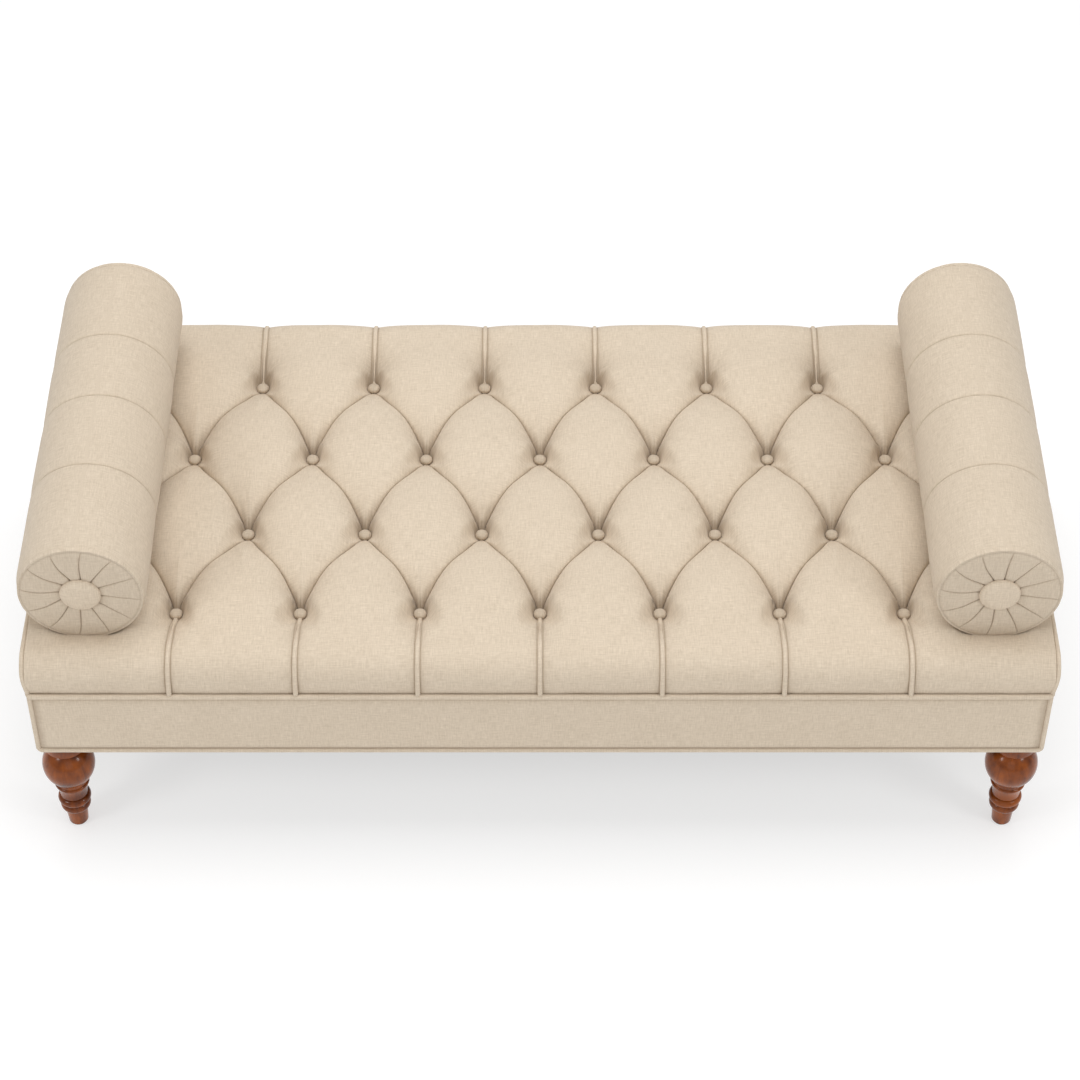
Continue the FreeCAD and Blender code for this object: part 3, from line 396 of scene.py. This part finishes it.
def makeBolsterEnd(name, face, sy, centre, body):  # gathered cloth between the rim seam and the button
    shape = bolsterEnd
    count = shape["pleats"]
    turns = np.concatenate([(k + np.array(shape["steps"]) + 0.25) * 2 * math.pi / count for k in range(count)])
    shares = np.concatenate([[0], crowded(34, "both")])
    share, turn = np.meshgrid(shares, turns, indexing="ij")  # share runs from the rim to the button
    saw = np.broadcast_to(np.tile(shape["steps"], count), share.shape)  # 0 to 1 from pleat to pleat
    outer, inner = bolster["radius"] - bolster["rimLoss"] + 0.6, shape["buttonRadius"] - shape["underButton"]
    radius = outer + (inner - outer) * share
    arc = radius * 2 * math.pi / count
    before, after = (1 - saw) * arc, saw * arc
    near = np.minimum(saw, 1 - saw) * arc
    strength = (0.3 + 0.7 * np.clip(share, 0, 1) ** 0.7) * smoothStep(share, 0.03, 0.12)
    lipReach = shape["lipReach"]
    lip = shape["pleatLip"] * (1.3 * np.exp(-before / lipReach) + 0.7 * np.exp(-after / lipReach))
    groove = (shape["pleatGroove"] + shape["pleatLip"]) * np.exp(-near / shape["grooveReach"])
    out = bolster["rim"] + shape["proud"] * (1 - np.exp(-share * 26)) - shape["dish"] * smoothStep(share, 0.42, 1)
    out = out + shape["belly"] * np.sin(share * math.pi)
    out = out + strength * (lip - groove) + shape["pillow"] * np.sin(saw * math.pi) * strength
    rim = np.exp(-((share - shape["rimPlace"]) / shape["rimWide"]) ** 2)
    stitched = shape["stitchDeep"] * np.exp(-((share - shape["stitchPlace"]) / shape["stitchWide"]) ** 2)
    out = out + shape["rimCord"] * rim - stitched
    radius = radius + shape["rimCordOut"] * rim - shape["notch"] * np.exp(-near / 2.5) * np.exp(-share * 14)
    out = out + shape["uneven"] * ripple(turn * 60, share * 60, 30, 81)
    # painted shade: darker in the pleat grooves, along the stitching and towards the button
    shade = shape["pleatShade"] * strength * np.exp(-near / 0.6)
    shade = shade + 0.35 * np.exp(-((share - shape["stitchPlace"]) / 0.012) ** 2)
    shade = np.clip(shade + 0.5 * smoothStep(share, 0.82, 0.95), 0, 1)
    turned = turn + sy * shape["lean"] * np.sin(share * math.pi)
    lowest = -bolster["flat"] + 0.4
    up = np.maximum(radius * np.cos(turned), lowest)
    front = np.stack([centre[0] + radius * np.sin(turned), sy * out, centre[2] + up], -1)
    rear = []
    for value in (1.0, 0.0):
        r = outer - 1 + (inner - outer) * value
        rear.append(np.stack([centre[0] + r * np.sin(turns), np.full_like(turns, sy * (bolster["rim"] - 0.5)),
                              centre[2] + np.maximum(r * np.cos(turns), lowest)], -1))
    points = np.concatenate([front, np.array(rear)], 0)
    shade = np.concatenate([shade, np.zeros((2, shade.shape[1]))], 0)
    rows, columns = points.shape[:2]
    cloth = np.stack([points[:, :, 0] - centre[0], points[:, :, 2]], -1)
    faces = gridFaces(rows, columns) + bridgeFaces(rows, columns)
    end = meshPiece(name + "Bolster" + face.capitalize() + "End", points.reshape(-1, 3), faces,
                    cloth.reshape(-1, 2), bolsterLinen, 60, shade.ravel())
    placePiece(end, body, "bolster_linen", "%s_bolster_%s_end" % (name, face), fill=0.8)


def makeBolster(side, name):
    body = name + "_bolster"
    centre = np.array([side * bolster["place"], 0, bolster["axis"]])
    stops = [-bolster["rim"]] + list(bolster["seams"]) + [bolster["rim"]]
    along = [stops[0]]
    for low, high in zip(stops, stops[1:]):
        along += list(low + (high - low) * crowded(34, "both"))
    around = np.linspace(0, 2 * math.pi, bolster["around"] + 1)[:-1]
    length, turn = np.meshgrid(np.array(along), around, indexing="ij")
    toRim = bolster["rim"] - np.abs(length)
    radius = bolster["radius"] - bolster["rimLoss"] * np.clip(1 - toRim / bolster["rimRounding"], 0, 1) ** 2
    shade = np.zeros_like(length)
    for order, seam in enumerate(bolster["seams"]):
        gap = np.abs(length - seam)
        wide = np.exp(-gap / bolster["seamSpread"])
        radius = radius - bolster["seamLoss"] * wide - bolster["seamGroove"] * np.exp(-gap / 1.0)
        radius = radius + bolster["seamLip"] * np.exp(-((length - seam + 2.4) / 1.5) ** 2)
        wander = 2.2 * ripple(turn * 40, turn * 0, 60, 71 + order)
        puckers = np.abs(np.sin(turn * bolster["puckers"] + wander)) ** 3
        radius = radius - bolster["puckerDeep"] * puckers * wide * (1 - np.exp(-gap / 2))
        # painted shade: darker in each seam groove
        shade = shade + bolster["seamShade"] * np.exp(-gap / 0.8)
    uneven = bolster["uneven"] * ripple(length, turn * 88, bolster["unevenLength"], 75 + side)
    radius = radius + uneven * (1 - np.exp(-toRim / 20))
    up = radius * np.cos(turn)
    ease = bolster["flatEase"]
    floor = ease - bolster["flat"]
    up = np.where(up < floor, floor - ease * np.tanh((floor - up) / ease), up)  # it flattens where it lies
    points = np.stack([centre[0] + radius * np.sin(turn), length, centre[2] + up], -1)
    cloth = np.stack([turn * bolster["radius"], length], -1)
    cover = tubePiece(name + "BolsterCover", points, cloth, bolsterLinen, 55, shade.ravel())
    placePiece(cover, body, "bolster_linen", name + "_bolster_cover", fill=0.9)
    for face, sy in (("front", -1), ("back", 1)):
        makeBolsterEnd(name, face, sy, centre, body)
    foot = bolster["half"] - bolsterEnd["buttonSunk"]
    ends = [coveredButton((centre[0], sy * foot, centre[2]), bolsterEnd["buttonRadius"], bolsterEnd["buttonRise"],
                          "y" if sy > 0 else "-y", bolsterButtonLinen) for sy in (-1, 1)]
    placePiece(joined(ends, name + "BolsterButtons"), body, "bolster_linen", name + "_bolster_buttons")


# Tufted seat cushion. w runs along the cloth from front to back, 0 in the middle.
seat = {
    "length": 1412, "depth": 730, "deck": 309, "crest": 374, "edge": 365, "roll": 40,
    "pitch": 168, "rowPitch": 155.5, "endShift": 6, "endEase": 70, "buttonSeat": 328, "pitRadius": 9.5,
    "foldArch": 26.5, "foldPower": 1.15, "foldSway": 6.5, "frontBulge": 0.64, "backBulge": 0.8,
    "ridgePower": 2.6, "ridgeRise": 0.54, "sharpAtButton": 1.25, "sharpGrowth": 0.95,
    "slopeBefore": 0.72, "slopeBehind": 3.6, "limitBlend": 1.6, "channelDeep": 6, "footLoss": 2.2,
    "footEase": 14, "foldDeep": 0.6, "foldDeepAtButton": 3.0, "foldWide": 0.9, "foldLip": 0.8,
    "gatherDeep": 2.1, "gatherStep": 17, "gatherLong": 19, "gatherWaver": 3,
    "uneven": 0.8, "unevenFine": 0.22, "unevenFace": 0.6,
    "footShade": 0.75, "cordLine": 4.3, "cordShade": 0.7, "pitShade": 0.62, "behindShade": 0.4,
}
halfPitch = seat["pitch"] / 2
columnX = {i: i * halfPitch + (math.copysign(seat["endShift"], i) if abs(i) >= 6 else 0) for i in range(-7, 8)}
rowY = [seat["rowPitch"] * share for share in (1.5, 0.5, -0.5, -1.5)]
buttonPlaces = [(columnX[i], rowY[r]) for r in range(4) for i in range(-7, 8) if (i + r) % 2]
bodyX, bodyY = seat["length"] / 2, seat["depth"] / 2
rollStart = bodyY - seat["roll"]
rollEnd = rollStart + seat["roll"] * math.pi / 2
rollLow = seat["edge"] - seat["roll"]  # height of the rolls' centre line
clothEnd = rollEnd + rollLow - seat["deck"]


def underBolster(x, distance, gap):  # height that the bolsters leave free, and all of it before their ends
    across = np.abs(np.abs(x) - bolster["place"])
    reach, flat = bolster["radius"] + 0.8, bolster["flat"] + 0.8
    drop = np.sqrt(np.maximum(reach ** 2 - across ** 2, 0))
    free = np.where(across < reach, bolster["axis"] - np.minimum(drop, flat), 1e6)
    return free - gap + 40 * smoothStep(distance, bolster["half"] - 2, bolster["half"] + 36)


def channelLine(distance):  # height of a channel's floor, by its distance from the middle of the depth
    radius = seat["roll"] - seat["channelDeep"]
    start = rowY[0] + seat["pitRadius"]
    over, up = rollStart - start, rollLow - seat["buttonSeat"]
    slope = math.atan2(up, over) + math.asin(radius / math.hypot(over, up))
    touch = rollStart - radius * math.sin(slope)
    line = seat["buttonSeat"] + np.maximum(distance - start, 0) * math.tan(slope)
    arch = rollLow + np.sqrt(np.maximum(radius ** 2 - (rollStart - distance) ** 2, 0))
    return np.where(distance < touch, line, arch)


def seatSkin(x, w, height, loss):  # points from the height on top and the loss of radius on rolls and faces
    turn = np.clip((np.abs(w) - rollStart) / seat["roll"], 0, math.pi / 2)
    down = np.maximum(np.abs(w) - rollEnd, 0)
    flat = np.abs(w) <= rollStart
    radius = seat["roll"] - loss
    y = np.where(flat, w, np.sign(w) * (rollStart + radius * np.sin(turn)))
    z = np.where(flat, height, rollLow + radius * np.cos(turn) - down)
    return np.stack([np.full_like(w, x), y, z], -1)


def ridgeShare(a):  # rise of a pillow's crest, a running from the button at its side to its middle
    return (1 - (1 - np.clip(a, 0, 1)) ** seat["ridgePower"]) ** seat["ridgeRise"]


def crestSharpness(a):
    return seat["sharpAtButton"] + seat["sharpGrowth"] * min(1, a / 0.5)


def pillowHeights(w, folds, share, beyond):  # pillows between the folds, and the half pillows at both sides
    low, crest, edge = seat["buttonSeat"], seat["crest"], seat["edge"]
    foldZ = low + seat["foldArch"] * max(math.sin(math.pi * share), 0) ** seat["foldPower"]
    foldZ += (edge - 1 - foldZ) * beyond ** 0.6
    height, loss = np.zeros_like(w), np.zeros_like(w)
    for front, back, a in ((folds[1], folds[0], 1 - share), (folds[2], folds[1], share)):
        s = np.clip((2 * w - front - back) / (back - front), -1, 1)
        power = np.where(s < 0, seat["frontBulge"], seat["backBulge"])
        ridge = max(low + (crest - low) * ridgeShare(a), foldZ)
        pillow = foldZ + (ridge - foldZ) * (1 - np.abs(s) ** crestSharpness(a)) ** power
        height = np.where((w >= front) & (w <= back), pillow, height)
    backward = share if beyond == 0 else min(1, beyond * seat["endEase"] / halfPitch)
    for sign, fold, a, power in ((-1, folds[2], 1 - share, "backBulge"), (1, folds[0], backward, "frontBulge")):
        distance, begins = sign * w, sign * fold
        floor = channelLine(distance)
        top = crest - (crest - edge) * smoothStep(distance, rowY[0], rollStart)
        between = floor + (top - floor) * ridgeShare(a)
        s = np.clip((rowY[0] - distance) / max(rowY[0] - begins, 0.01), 0, 1)
        ridge = low + (crest - low) * ridgeShare(a)
        inner = foldZ + (ridge - foldZ) * (1 - s ** crestSharpness(a)) ** seat[power]
        height = np.where(distance > begins, np.where(distance > rowY[0], between, inner), height)
        loss = np.where(distance > rollStart, seat["channelDeep"] * (1 - ridgeShare(a)), loss)
    return height, loss


def buttonPits(x, w, height, shade):  # the cloth drawn down to each button, with gathers behind it, and painted shade in the pits and gathers
    low, blendOver = seat["buttonSeat"], seat["limitBlend"]
    nearest = np.full_like(w, 1e3)
    for buttonX, buttonY in buttonPlaces:
        if abs(buttonX - x) > 90:
            continue
        dx, dy = x - buttonX, w - buttonY
        far = np.hypot(dx, dy)
        nearest = np.minimum(nearest, far)
        outside = np.maximum(far - seat["pitRadius"], 0)
        facing = dy / np.maximum(far, 0.1)  # -1 before the button, 1 behind it
        behind = seat["slopeBehind"] - seat["slopeBefore"]
        limit = low + (seat["slopeBefore"] + behind * smoothStep(facing, -0.95, 0.1)) * outside
        both = np.exp(-(height - low) / blendOver) + np.exp(-(limit - low) / blendOver)
        height = np.where(limit < height + 12, low - blendOver * np.log(both), height)
        angle = np.arctan2(dx, dy)
        waver = math.radians(seat["gatherWaver"]) * ripple(np.array(buttonX), np.array(buttonY), 200, 9)
        streak = (0.5 + 0.5 * np.cos((angle + waver) * 360 / seat["gatherStep"])) ** 2
        reach = np.exp(-outside / seat["gatherLong"]) * np.minimum(outside / 5, 1)
        gather = streak * smoothStep(np.cos(angle), 0.5, 0.75) * reach
        height = height - seat["gatherDeep"] * gather
        hollow = smoothStep(facing, -0.15, 0.4) * np.exp(-outside / 17)
        shade = shade + 0.5 * gather + seat["pitShade"] * np.exp(-outside / 2.2) + seat["behindShade"] * hollow
    return height, shade, nearest


def seatStation(x, w, folds, share, beyond):  # height, loss and fold shade at one place along the bench
    height, loss = pillowHeights(w, folds, share, beyond)
    loss = loss + (seat["footLoss"] - loss) * smoothStep(np.abs(w), rollEnd - seat["footEase"], clothEnd)
    # painted shade: darker along the foot of the cushion face, beside the channel cords, in the pits and along the
    # folds
    shade = seat["footShade"] * np.exp(-(clothEnd - np.abs(w)) / 1.6)
    for i, middle in columnX.items():
        beside = abs(x - middle) - seat["cordLine"]
        line = np.exp(-(beside / 0.9) ** 2) + 0.4 * np.exp(-np.maximum(beside, 0) / 5)
        shade = shade + seat["cordShade"] * line * ((1 if i % 2 else -1) * w > rowY[0] + 7)
    height, shade, nearest = buttonPits(x, w, height, shade)
    for foldW in folds:
        gap = (w - foldW) * 0.475  # across the fold, which runs askew
        deep = seat["foldDeep"] + seat["foldDeepAtButton"] * np.exp(-np.maximum(nearest - 9, 0) / 18)
        fade = (1 - beyond) * np.minimum(1, nearest / 9)
        front = np.maximum(-gap, 0)
        height = height - fade * deep * np.exp(-np.abs(gap) / seat["foldWide"])
        height = height + fade * seat["foldLip"] * np.exp(-front / 6) * (1 - np.exp(-front)) * (gap < 0)
        shade = shade + fade * (0.2 + 0.3 * np.exp(-(nearest - 9) / 22)) * np.exp(-np.abs(gap) / 0.5)
    xs = np.full_like(w, x)
    height = height + seat["uneven"] * ripple(xs, w, 120, 11) + seat["unevenFine"] * ripple(xs, w, 38, 12)
    loss = loss - seat["unevenFace"] * ripple(xs, w, 90, 13) * (np.abs(w) > rollStart)
    height = np.minimum(np.maximum(height, seat["buttonSeat"] - 0.6), underBolster(xs, np.abs(w), 0.5))
    return height, loss, np.clip(shade, 0, 1)


def seatStations():  # places along the bench, close together at the button columns
    half = [0, 1.3, 2.6, 4, 5.6, 7.4, 9.3, 11.4, 13.8, 16.6, 19.8, 23.4, 27.4, 31.8, 36.6]
    places, order = [], list(columnX.values())
    for first, last in zip(order, order[1:]):
        span = (last - first) / halfPitch
        places += [first + step * span for step in half] + [(first + last) / 2]
        places += [last - step * span for step in half[:0:-1]]
    places.append(order[-1])
    steps = [1.3, 1.3, 1.5, 1.8, 2.2, 2.6, 3, 3.5, 4, 4.5, 5, 5.5] + [6] * 9 + [5.5, 5, 4.5, 4, 3]
    outer = [at for at in order[-1] + np.cumsum(steps) if at < bodyX - 1] + [bodyX]
    return [-at for at in reversed(outer)] + places + outer


def foldPlaces(x):  # where the three zigzag folds lie, and how far they have come from column to column
    last = columnX[7]
    share, beyond, pitch = 0.0, 0.0, seat["rowPitch"]
    if abs(x) <= last:
        index = min(max(i for i in columnX if columnX[i] <= x + 1e-6), 6)
        share = min(max((x - columnX[index]) / (columnX[index + 1] - columnX[index]), 0), 1)
        share = share if index % 2 else 1 - share
    else:
        beyond = min(1.0, (abs(x) - last) / seat["endEase"])
    sway = seat["foldSway"] * math.sin(2 * math.pi * share)
    folds = [rowY[0] - share * pitch - sway, rowY[2] + share * pitch + sway, rowY[2] - share * pitch - sway]
    for upper, lower in ((0, 1), (1, 2)):
        if folds[upper] - folds[lower] < 1.2:  # two that meet stay apart
            middle = (folds[upper] + folds[lower]) / 2
            folds[upper], folds[lower] = middle + 0.6, middle - 0.6
    return folds, share, beyond


def makeSeat():
    skin, cloth, shades = [], [], []
    zones = [(4, ""), (12, ""), (28, "stop"), (36, "both"), (36, "both"), (28, "start"), (12, ""), (4, "")]
    under = np.linspace(bodyY, -bodyY, 8)[1:-1]
    for x in seatStations():
        folds, share, beyond = foldPlaces(x)
        marks = [-clothEnd, -rollEnd, -rollStart, folds[2], folds[1], folds[0], rollStart, rollEnd, clothEnd]
        w = [marks[0]]
        for (count, ends), low, high in zip(zones, marks, marks[1:]):
            w += list(low + (high - low) * crowded(count, ends))
        w = np.array(w)
        height, loss, shade = seatStation(x, w, folds, share, beyond)
        below = np.stack([np.full_like(under, x), under, np.full_like(under, seat["deck"])], -1)
        skin.append(np.vstack([seatSkin(x, w, height, loss), below]))
        laid = np.concatenate([w, clothEnd + np.arange(1, 7) * 100])
        cloth.append(np.stack([np.full_like(laid, x), laid], -1))
        shades.append(np.concatenate([shade, np.zeros(len(under))]))
    piece = tubePiece("seatCushion", np.array(skin), np.array(cloth), seatLinen, 75, np.array(shades).ravel())
    placePiece(piece, "frame", "seat_linen", "seat_cover", fill=0.85)


makeSeat()
print("seat cushion made")


# Cords in the channels of the seat
channelCord = {"radius": 3.5, "proud": 1.1, "sides": 12, "footOut": 2.4, "from": 0.5, "points": 44}
for side, odd, name in ((-1, 0, "front"), (1, 1, "back")):
    distance = np.linspace(rowY[0] + seat["pitRadius"] + channelCord["from"], clothEnd - 0.5, channelCord["points"])
    loss = seat["channelDeep"] - channelCord["proud"]
    ease = smoothStep(distance, rollEnd - seat["footEase"], clothEnd)
    loss = loss + (seat["footLoss"] - channelCord["footOut"] - loss) * ease
    paths = []
    for i, middle in columnX.items():
        if i % 2 == odd:
            free = underBolster(np.full_like(distance, middle), distance, channelCord["radius"] + 0.5)
            floor = np.minimum(channelLine(distance) + channelCord["proud"], free)
            paths.append(seatSkin(middle, distance, floor, loss) * (1, side, 1))
    cords = cordPiece(name + "ChannelCords", paths, channelCord["radius"], (1, 0, 0), 21, sides=channelCord["sides"])
    placePiece(cords, "frame", "welt_linen", name + "_channel_welts")
print("channel cords made")


# Tufting buttons
button = {"radius": 9.25, "height": 8}
domes = [coveredButton((x, y, seat["buttonSeat"]), button["radius"], button["height"], "z", buttonLinen)
         for x, y in buttonPlaces]
placePiece(joined(domes, "seatButtons"), "frame", "button_linen", "seat_buttons")
print("seat buttons made")


# Ends of the seat cushion: crowned panels and the cord sewn round each
endPanel = {
    "inset": 7, "crown": 7.5, "soften": 24, "front": 0.4, "back": 0.2, "uneven": 0.35, "welt": 3.5,
    "footIn": 4.5, "footFrom": 18, "footOver": 34, "lift": 0.6, "across": 90,
}


def endOutline(inset, count=9):  # front foot, up, over and down to the back foot, as (y, z)
    radius, foot = seat["roll"] - inset, seat["deck"] + endPanel["lift"]
    turns = np.linspace(0, math.pi / 2, count)
    front = [(-rollStart - radius * math.cos(a), rollLow + radius * math.sin(a)) for a in turns]
    back = [(-y, z) for y, z in reversed(front)]
    across = [(y, rollLow + radius) for y in np.linspace(-rollStart, rollStart, endPanel["across"])[1:-1]]
    return [(front[0][0], foot)] + front + across + back + [(back[-1][0], foot)]


def makeEnd(side, name):
    foot, inner = seat["deck"] + endPanel["lift"], seat["roll"] - endPanel["inset"]
    ys = {round(y, 3) for y, z in endOutline(endPanel["inset"])}
    ys |= {round(y, 3) for y in np.linspace(-rollStart, rollStart, endPanel["across"])}
    rows = []
    for y in sorted(ys):
        past = max(abs(y) - rollStart, 0)
        top = rollLow + math.sqrt(max(inner ** 2 - past ** 2, 0.01))
        z = foot + (top - foot) * np.concatenate([[0], crowded(14, "both")])
        toEdge = np.minimum.reduce([z - foot, top - z, np.full_like(z, rollStart + inner - abs(y))])
        if abs(y) > rollStart:
            toEdge = np.minimum(toEdge, np.maximum(inner - np.hypot(past, np.maximum(z - rollLow, 0)), 0))
        rise = 1 - (1 - np.clip(toEdge / endPanel["soften"], 0, 1)) ** 2
        uneven = endPanel["uneven"] * ripple(z * 0 + y, z, 90, 31) * rise
        x = bodyX + endPanel["front"] + endPanel["crown"] * rise + uneven
        front = np.stack([side * x, np.full_like(z, y), z], -1)
        rear = np.stack([np.full_like(z, side * (bodyX + endPanel["back"])), np.full_like(z, y), z], -1)[::-1]
        rows.append(np.vstack([front, rear]))
    rows = np.array(rows)
    panel = tubePiece(name + "EndPanel", rows, rows[:, :, 1:3], seatLinen, 50)
    placePiece(panel, "frame", "seat_linen", name + "_end_panel", fill=0.9)
    path = []
    for y, z in endOutline(endPanel["welt"], 14):
        down = min(1, max(0, (rollLow + endPanel["footFrom"] - z) / endPanel["footOver"]))
        path.append((side * (bodyX + endPanel["welt"] - endPanel["footIn"] * down ** 1.3), y, z))
    feet = []
    for end, inward in ((path[0], path[1]), (path[-1], path[-2])):
        feet.append([tuple(end[k] + (inward[k] - end[k]) * share for k in range(3)) for share in (0, 0.33, 0.66)])
    path = feet[0] + path[1:-1] + feet[1][::-1]
    welt = cordPiece(name + "EndWelt", [path], endPanel["welt"], (1, 0, 0), 41)
    placePiece(welt, "frame", "welt_linen", name + "_end_welt")


makeEnd(-1, "left")
makeEnd(1, "right")
print("cushion ends made")


# Rail: padded panels and the cords along their edges
rail = {
    "bottom": 188, "weltZ": 305, "welt": 4, "lowWelt": 3.5, "cornerWelt": 3.5, "corner": 8, "step": 7,
    "thick": 4, "crown": 1.6, "edgeIn": 1.2, "soften": 12, "uneven": 0.5, "behind": 0.3,
    "seamShade": 0.7, "seamReach": 3.4,
}
railLow, railHigh = rail["bottom"] + 2 * rail["lowWelt"], rail["weltZ"] - rail["welt"]


def ringPath(halfX, halfY, z):  # closed path round the bench with rounded corners
    radius, path = rail["corner"], []
    corners = ((1, 1), (-1, 1), (-1, -1), (1, -1))
    for order, (sx, sy) in enumerate(corners):
        turns = np.radians(np.linspace(order * 90, order * 90 + 90, 9))
        for turn in turns:
            path.append((sx * (halfX - radius) + radius * math.cos(turn),
                         sy * (halfY - radius) + radius * math.sin(turn), z))
        nextX, nextY = corners[(order + 1) % 4]
        start = np.array(path[-1])
        stop = np.array((nextX * (halfX - radius) + radius * math.cos(turns[-1]),
                         nextY * (halfY - radius) + radius * math.sin(turns[-1]), z))
        count = int(np.linalg.norm(stop - start) / rail["step"])
        path += [tuple(start + (stop - start) * share) for share in np.linspace(0, 1, count + 1)[1:-1]]
    return path


topPath = ringPath(bodyX, bodyY, rail["weltZ"])
topWelt = cordPiece("topWelt", [topPath], rail["welt"], (0, 0, 1), 51, closed=True)
placePiece(topWelt, "frame", "welt_linen", "top_welt")
outside = rail["lowWelt"] - rail["thick"]
lowPath = ringPath(bodyX + outside, bodyY + outside, rail["bottom"] + rail["lowWelt"])
lowWelt = cordPiece("bottomWelt", [lowPath], rail["lowWelt"], (0, 0, 1), 52, closed=True)
placePiece(lowWelt, "frame", "welt_linen", "bottom_welt")
postX, postY = bodyX - rail["thick"] / 2, bodyY - rail["thick"] / 2
posts = [[(sx * postX, sy * postY, z) for z in np.linspace(railLow - 1, railHigh + 1, 18)]
         for sx in (-1, 1) for sy in (-1, 1)]
cornerWelts = cordPiece("cornerWelts", posts, rail["cornerWelt"], (1, 0, 0), 53)
placePiece(cornerWelts, "frame", "welt_linen", "corner_welts")


def railPanel(name, node, halfLength, face, turned, seed):  # padded strip; face is the plane of its outer side
    rows, shades = [], []
    z = railLow + (railHigh - railLow) * np.concatenate([[0], crowded(14, "both")])
    for at in np.linspace(-halfLength, halfLength, int(halfLength / 6)):
        toEdge = np.minimum(np.minimum(z - railLow, railHigh - z), halfLength - abs(at))
        rise = 1 - (1 - np.clip(toEdge / rail["soften"], 0, 1)) ** 2
        out = abs(face) - rail["edgeIn"] + (rail["edgeIn"] + rail["crown"]) * rise
        out = out + rail["uneven"] * rise * ripple(np.full_like(z, at), z, 110, seed)
        shell = np.concatenate([out, np.full_like(z, abs(face) - rail["thick"] + rail["behind"])])
        shell = shell * math.copysign(1, face)
        heights, ats = np.concatenate([z, z[::-1]]), np.full_like(shell, at)
        # painted shade: darker along the panel's edges, under the welts
        seam = rail["seamShade"] * np.exp(-(toEdge / rail["seamReach"]) ** 2)
        shades.append(np.concatenate([seam, seam[::-1]]))
        rows.append(np.stack([shell, ats, heights] if turned else [ats, shell, heights], -1))
    rows = np.array(rows)
    cloth = rows[:, :, [1 if turned else 0, 2]]
    panel = tubePiece(name, rows, cloth, seatLinen, 50, np.array(shades).ravel())
    placePiece(panel, "frame", "seat_linen", node, fill=0.95)


gapX, gapY = postX - rail["cornerWelt"] + 0.4, postY - rail["cornerWelt"] + 0.4
railPanel("frontRailPanel", "front_band", gapX, -bodyY, False, 61)
railPanel("backRailPanel", "back_band", gapX, bodyY, False, 62)
railPanel("leftRailPanel", "left_end_band", gapY, -bodyX, True, 63)
railPanel("rightRailPanel", "right_end_band", gapY, bodyX, True, 64)
print("rail upholstery made")

makeBolster(-1, "left")  # they lie in the hollows of the finished seat
makeBolster(1, "right")
print("bolsters made")


# Studio: pale floor, soft lights and the camera of the photograph
studio = {
    "lens": 94.82, "sensor": 36, "cameraY": -2.9484, "cameraZ": 3.2535, "tilt": 44.38,
    "floorSize": 90, "floorTone": 0.5, "floorGlow": 0.56, "skyStrength": 0.56,
    "lamps": {  # place, aim, size, power
        "topLight": ((0, 0.3, 3.1), (0, 0, 0.3), 2.4, 52),
        "leftLight": ((-2.5, -1.7, 2.1), (0, 0, 0.2), 0.75, 16),
        "rightLight": ((2.5, -1.7, 2.1), (0, 0, 0.2), 0.75, 16),
        "frontLight": ((0, -3.6, 1.6), (0, 0, 0.2), 2.0, 7),
    },
}
clearSelection()
bpy.ops.mesh.primitive_plane_add(size=studio["floorSize"], location=(0, 0, -0.0005))
floor = bpy.context.object
floor.name = "floor"
paper, _ = newMaterial("palePaper", {
    "Roughness": 0.9, "Specular IOR Level": 0.1, "Base Color": (*[studio["floorTone"]] * 3, 1),
    "Emission Color": (1, 1, 1, 1), "Emission Strength": studio["floorGlow"]})
floor.data.materials.append(paper)

for name, (place, aim, size, power) in studio["lamps"].items():
    lamp = bpy.data.lights.new(name, "AREA")
    lamp.shape = "SQUARE"
    lamp.size = size
    lamp.energy = power
    light = bpy.data.objects.new(name, lamp)
    bpy.context.scene.collection.objects.link(light)
    light.location = place
    light.rotation_euler = (Vector(aim) - Vector(place)).to_track_quat("-Z", "Y").to_euler()

world = bpy.data.worlds.new("studioSky")
bpy.context.scene.world = world
world.use_nodes = True
sky = world.node_tree.nodes["Background"]
sky.inputs["Color"].default_value = (1, 1, 1, 1)
sky.inputs["Strength"].default_value = studio["skyStrength"]
lensData = bpy.data.cameras.new("photoCamera")
lensData.lens = studio["lens"]
lensData.sensor_width = studio["sensor"]
lensData.clip_end = 60
camera = bpy.data.objects.new("photoCamera", lensData)
bpy.context.scene.collection.objects.link(camera)
camera.location = (0, studio["cameraY"], studio["cameraZ"])
camera.rotation_euler = (math.radians(studio["tilt"]), 0, 0)
bpy.context.scene.camera = camera
bpy.context.scene.view_settings.view_transform = "Standard"
print("studio ready")
